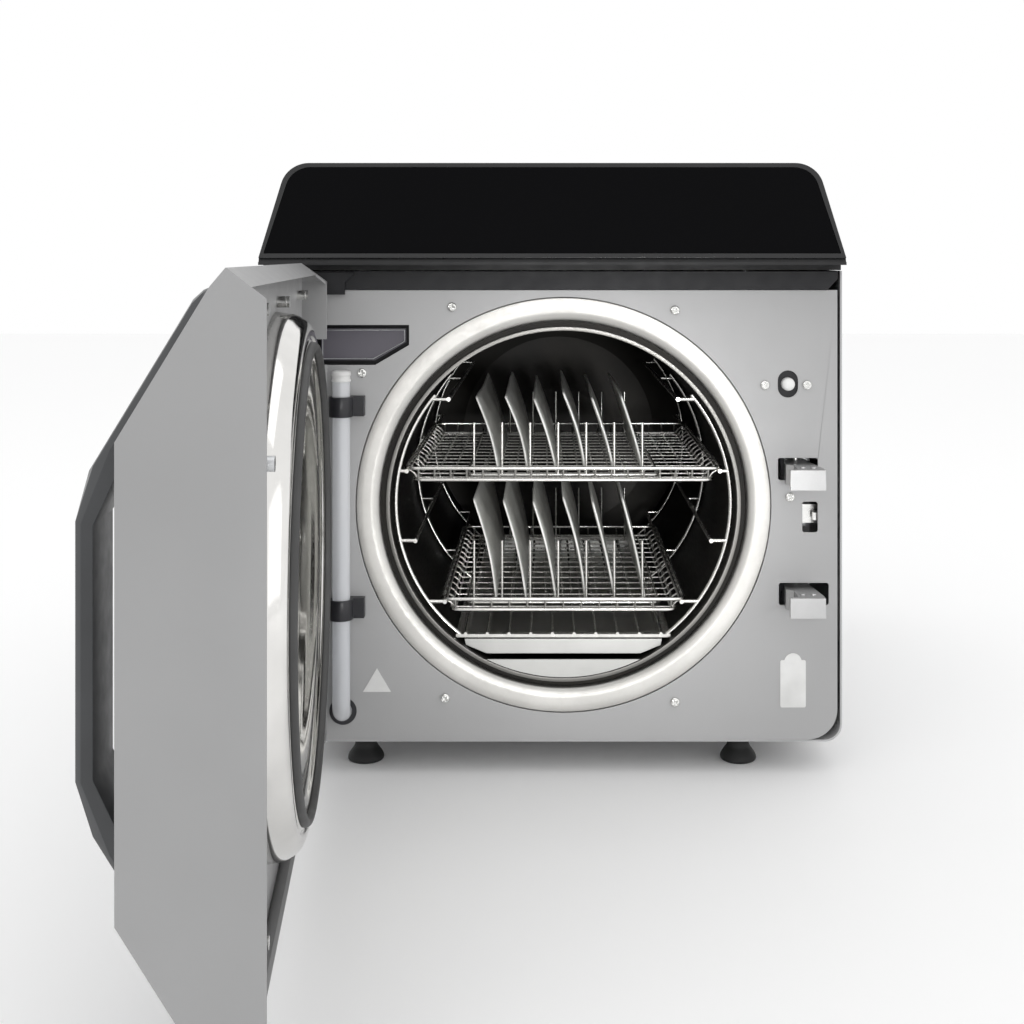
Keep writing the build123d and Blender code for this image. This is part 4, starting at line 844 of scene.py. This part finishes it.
def swept_handle():
    """Rounded pull handle that follows the door's facets, in the CAD handle's box."""
    outer = HANDLE_OUTER + [(x, -y) for x, y in reversed(HANDLE_OUTER)]
    inner = HANDLE_INNER + [(x, -y) for x, y in reversed(HANDLE_INNER)]
    shape = bmesh.new()
    rings = []
    for (outer_x, outer_y), (inner_x, inner_y) in zip(outer, inner):
        near = Vector((inner_x, inner_y)) * MM
        far = Vector((outer_x, outer_y)) * MM
        ring = []
        for across, share in HANDLE_SECTION:
            spot = near.lerp(far, share)
            place_u = HANDLE_MIDDLE + across * HANDLE_HALF
            ring.append(shape.verts.new(on_door(place_u, spot.y, spot.x)))
        rings.append(ring)
    count = len(rings[0])
    for here, there in zip(rings, rings[1:]):
        for i in range(count):
            j = (i + 1) % count
            shape.faces.new((here[i], here[j], there[j], there[i]))
    shape.faces.new(rings[0])
    shape.faces.new(rings[-1])
    bmesh.ops.recalc_face_normals(shape, faces=shape.faces)
    mesh = bpy.data.meshes.new("pull_handle")
    shape.to_mesh(mesh)
    shape.free()
    return mesh


handle_mesh = swept_handle()
handle = add_piece("pull_handle", handle_mesh, HANDLE, "door", "door_handle", slot="handle_plastic")
handle_edges = handle.modifiers.new("edges", "BEVEL")
handle_edges.width = 2.2 * MM
handle_edges.segments = 3
handle_edges.limit_method = "ANGLE"
handle_edges.angle_limit = math.radians(35)

# ---- stage, light and camera --------------------------------------------------------------
FLOOR = 6.0  # half of its side
floor_mesh = bpy.data.meshes.new("floor")
floor_shape = bmesh.new()
floor_signs = ((-1, -1), (1, -1), (1, 1), (-1, 1))
floor_corners = [floor_shape.verts.new((x * FLOOR, y * FLOOR, 0)) for x, y in floor_signs]
floor_shape.faces.new(floor_corners)
floor_shape.to_mesh(floor_mesh)
floor_shape.free()
floor = bpy.data.objects.new("floor", floor_mesh)
floor_look = new_material("pale floor", (0.96, 0.96, 0.96), 0.7)
floor_mesh.materials.append(floor_look)
bpy.context.scene.collection.objects.link(floor)

world = bpy.data.worlds.new("studio")
bpy.context.scene.world = world
world.use_nodes = True
world.node_tree.nodes["Background"].inputs["Color"].default_value = (1, 1, 1, 1)
world.node_tree.nodes["Background"].inputs["Strength"].default_value = 1.0


def add_light(name, kind, spot, target, power, **settings):
    """Light of a kind at a spot, aimed at a target."""
    data = bpy.data.lights.new(name, kind)
    data.energy = power
    for setting, value in settings.items():
        setattr(data, setting, value)
    lamp = bpy.data.objects.new(name, data)
    lamp.location = spot
    aim = Vector(target) - Vector(spot)
    lamp.rotation_euler = aim.to_track_quat("-Z", "Y").to_euler()
    bpy.context.scene.collection.objects.link(lamp)


def softbox(name, spot, target, size, power):
    """Square area light."""
    add_light(name, "AREA", spot, target, power, shape="SQUARE", size=size)


AIM = (0, FRONT_Y, CHAMBER_Z)
softbox("key", (-1.6, -2.0, 1.5), AIM, 1.2, 3.5)
softbox("fill", (1.8, -1.8, 1.0), AIM, 1.6, 3)
softbox("top", (0, -0.4, 2.4), (0, 0, 0.3), 1.8, 5)

# A narrow beam into the chamber.
add_light(
    "chamber_beam",
    "SPOT",
    (0.20, -1.9, 0.30),
    (CHAMBER_X, -0.15, 0.21),
    70,
    spot_size=math.radians(11.5),
    spot_blend=0.35,
    shadow_soft_size=0.12,
)

camera_data = bpy.data.cameras.new("camera")
camera_data.sensor_width = 36.0
camera_data.lens = 48.16
camera_data.shift_x = -0.0332
camera_data.shift_y = -0.2495
camera = bpy.data.objects.new("camera", camera_data)
camera.location = (-0.005, FRONT_Y - 1.1, 0.4155)
camera.rotation_euler = (math.radians(90), 0, 0)
bpy.context.scene.collection.objects.link(camera)
bpy.context.scene.camera = camera
bpy.context.scene.view_settings.view_transform = "Standard"
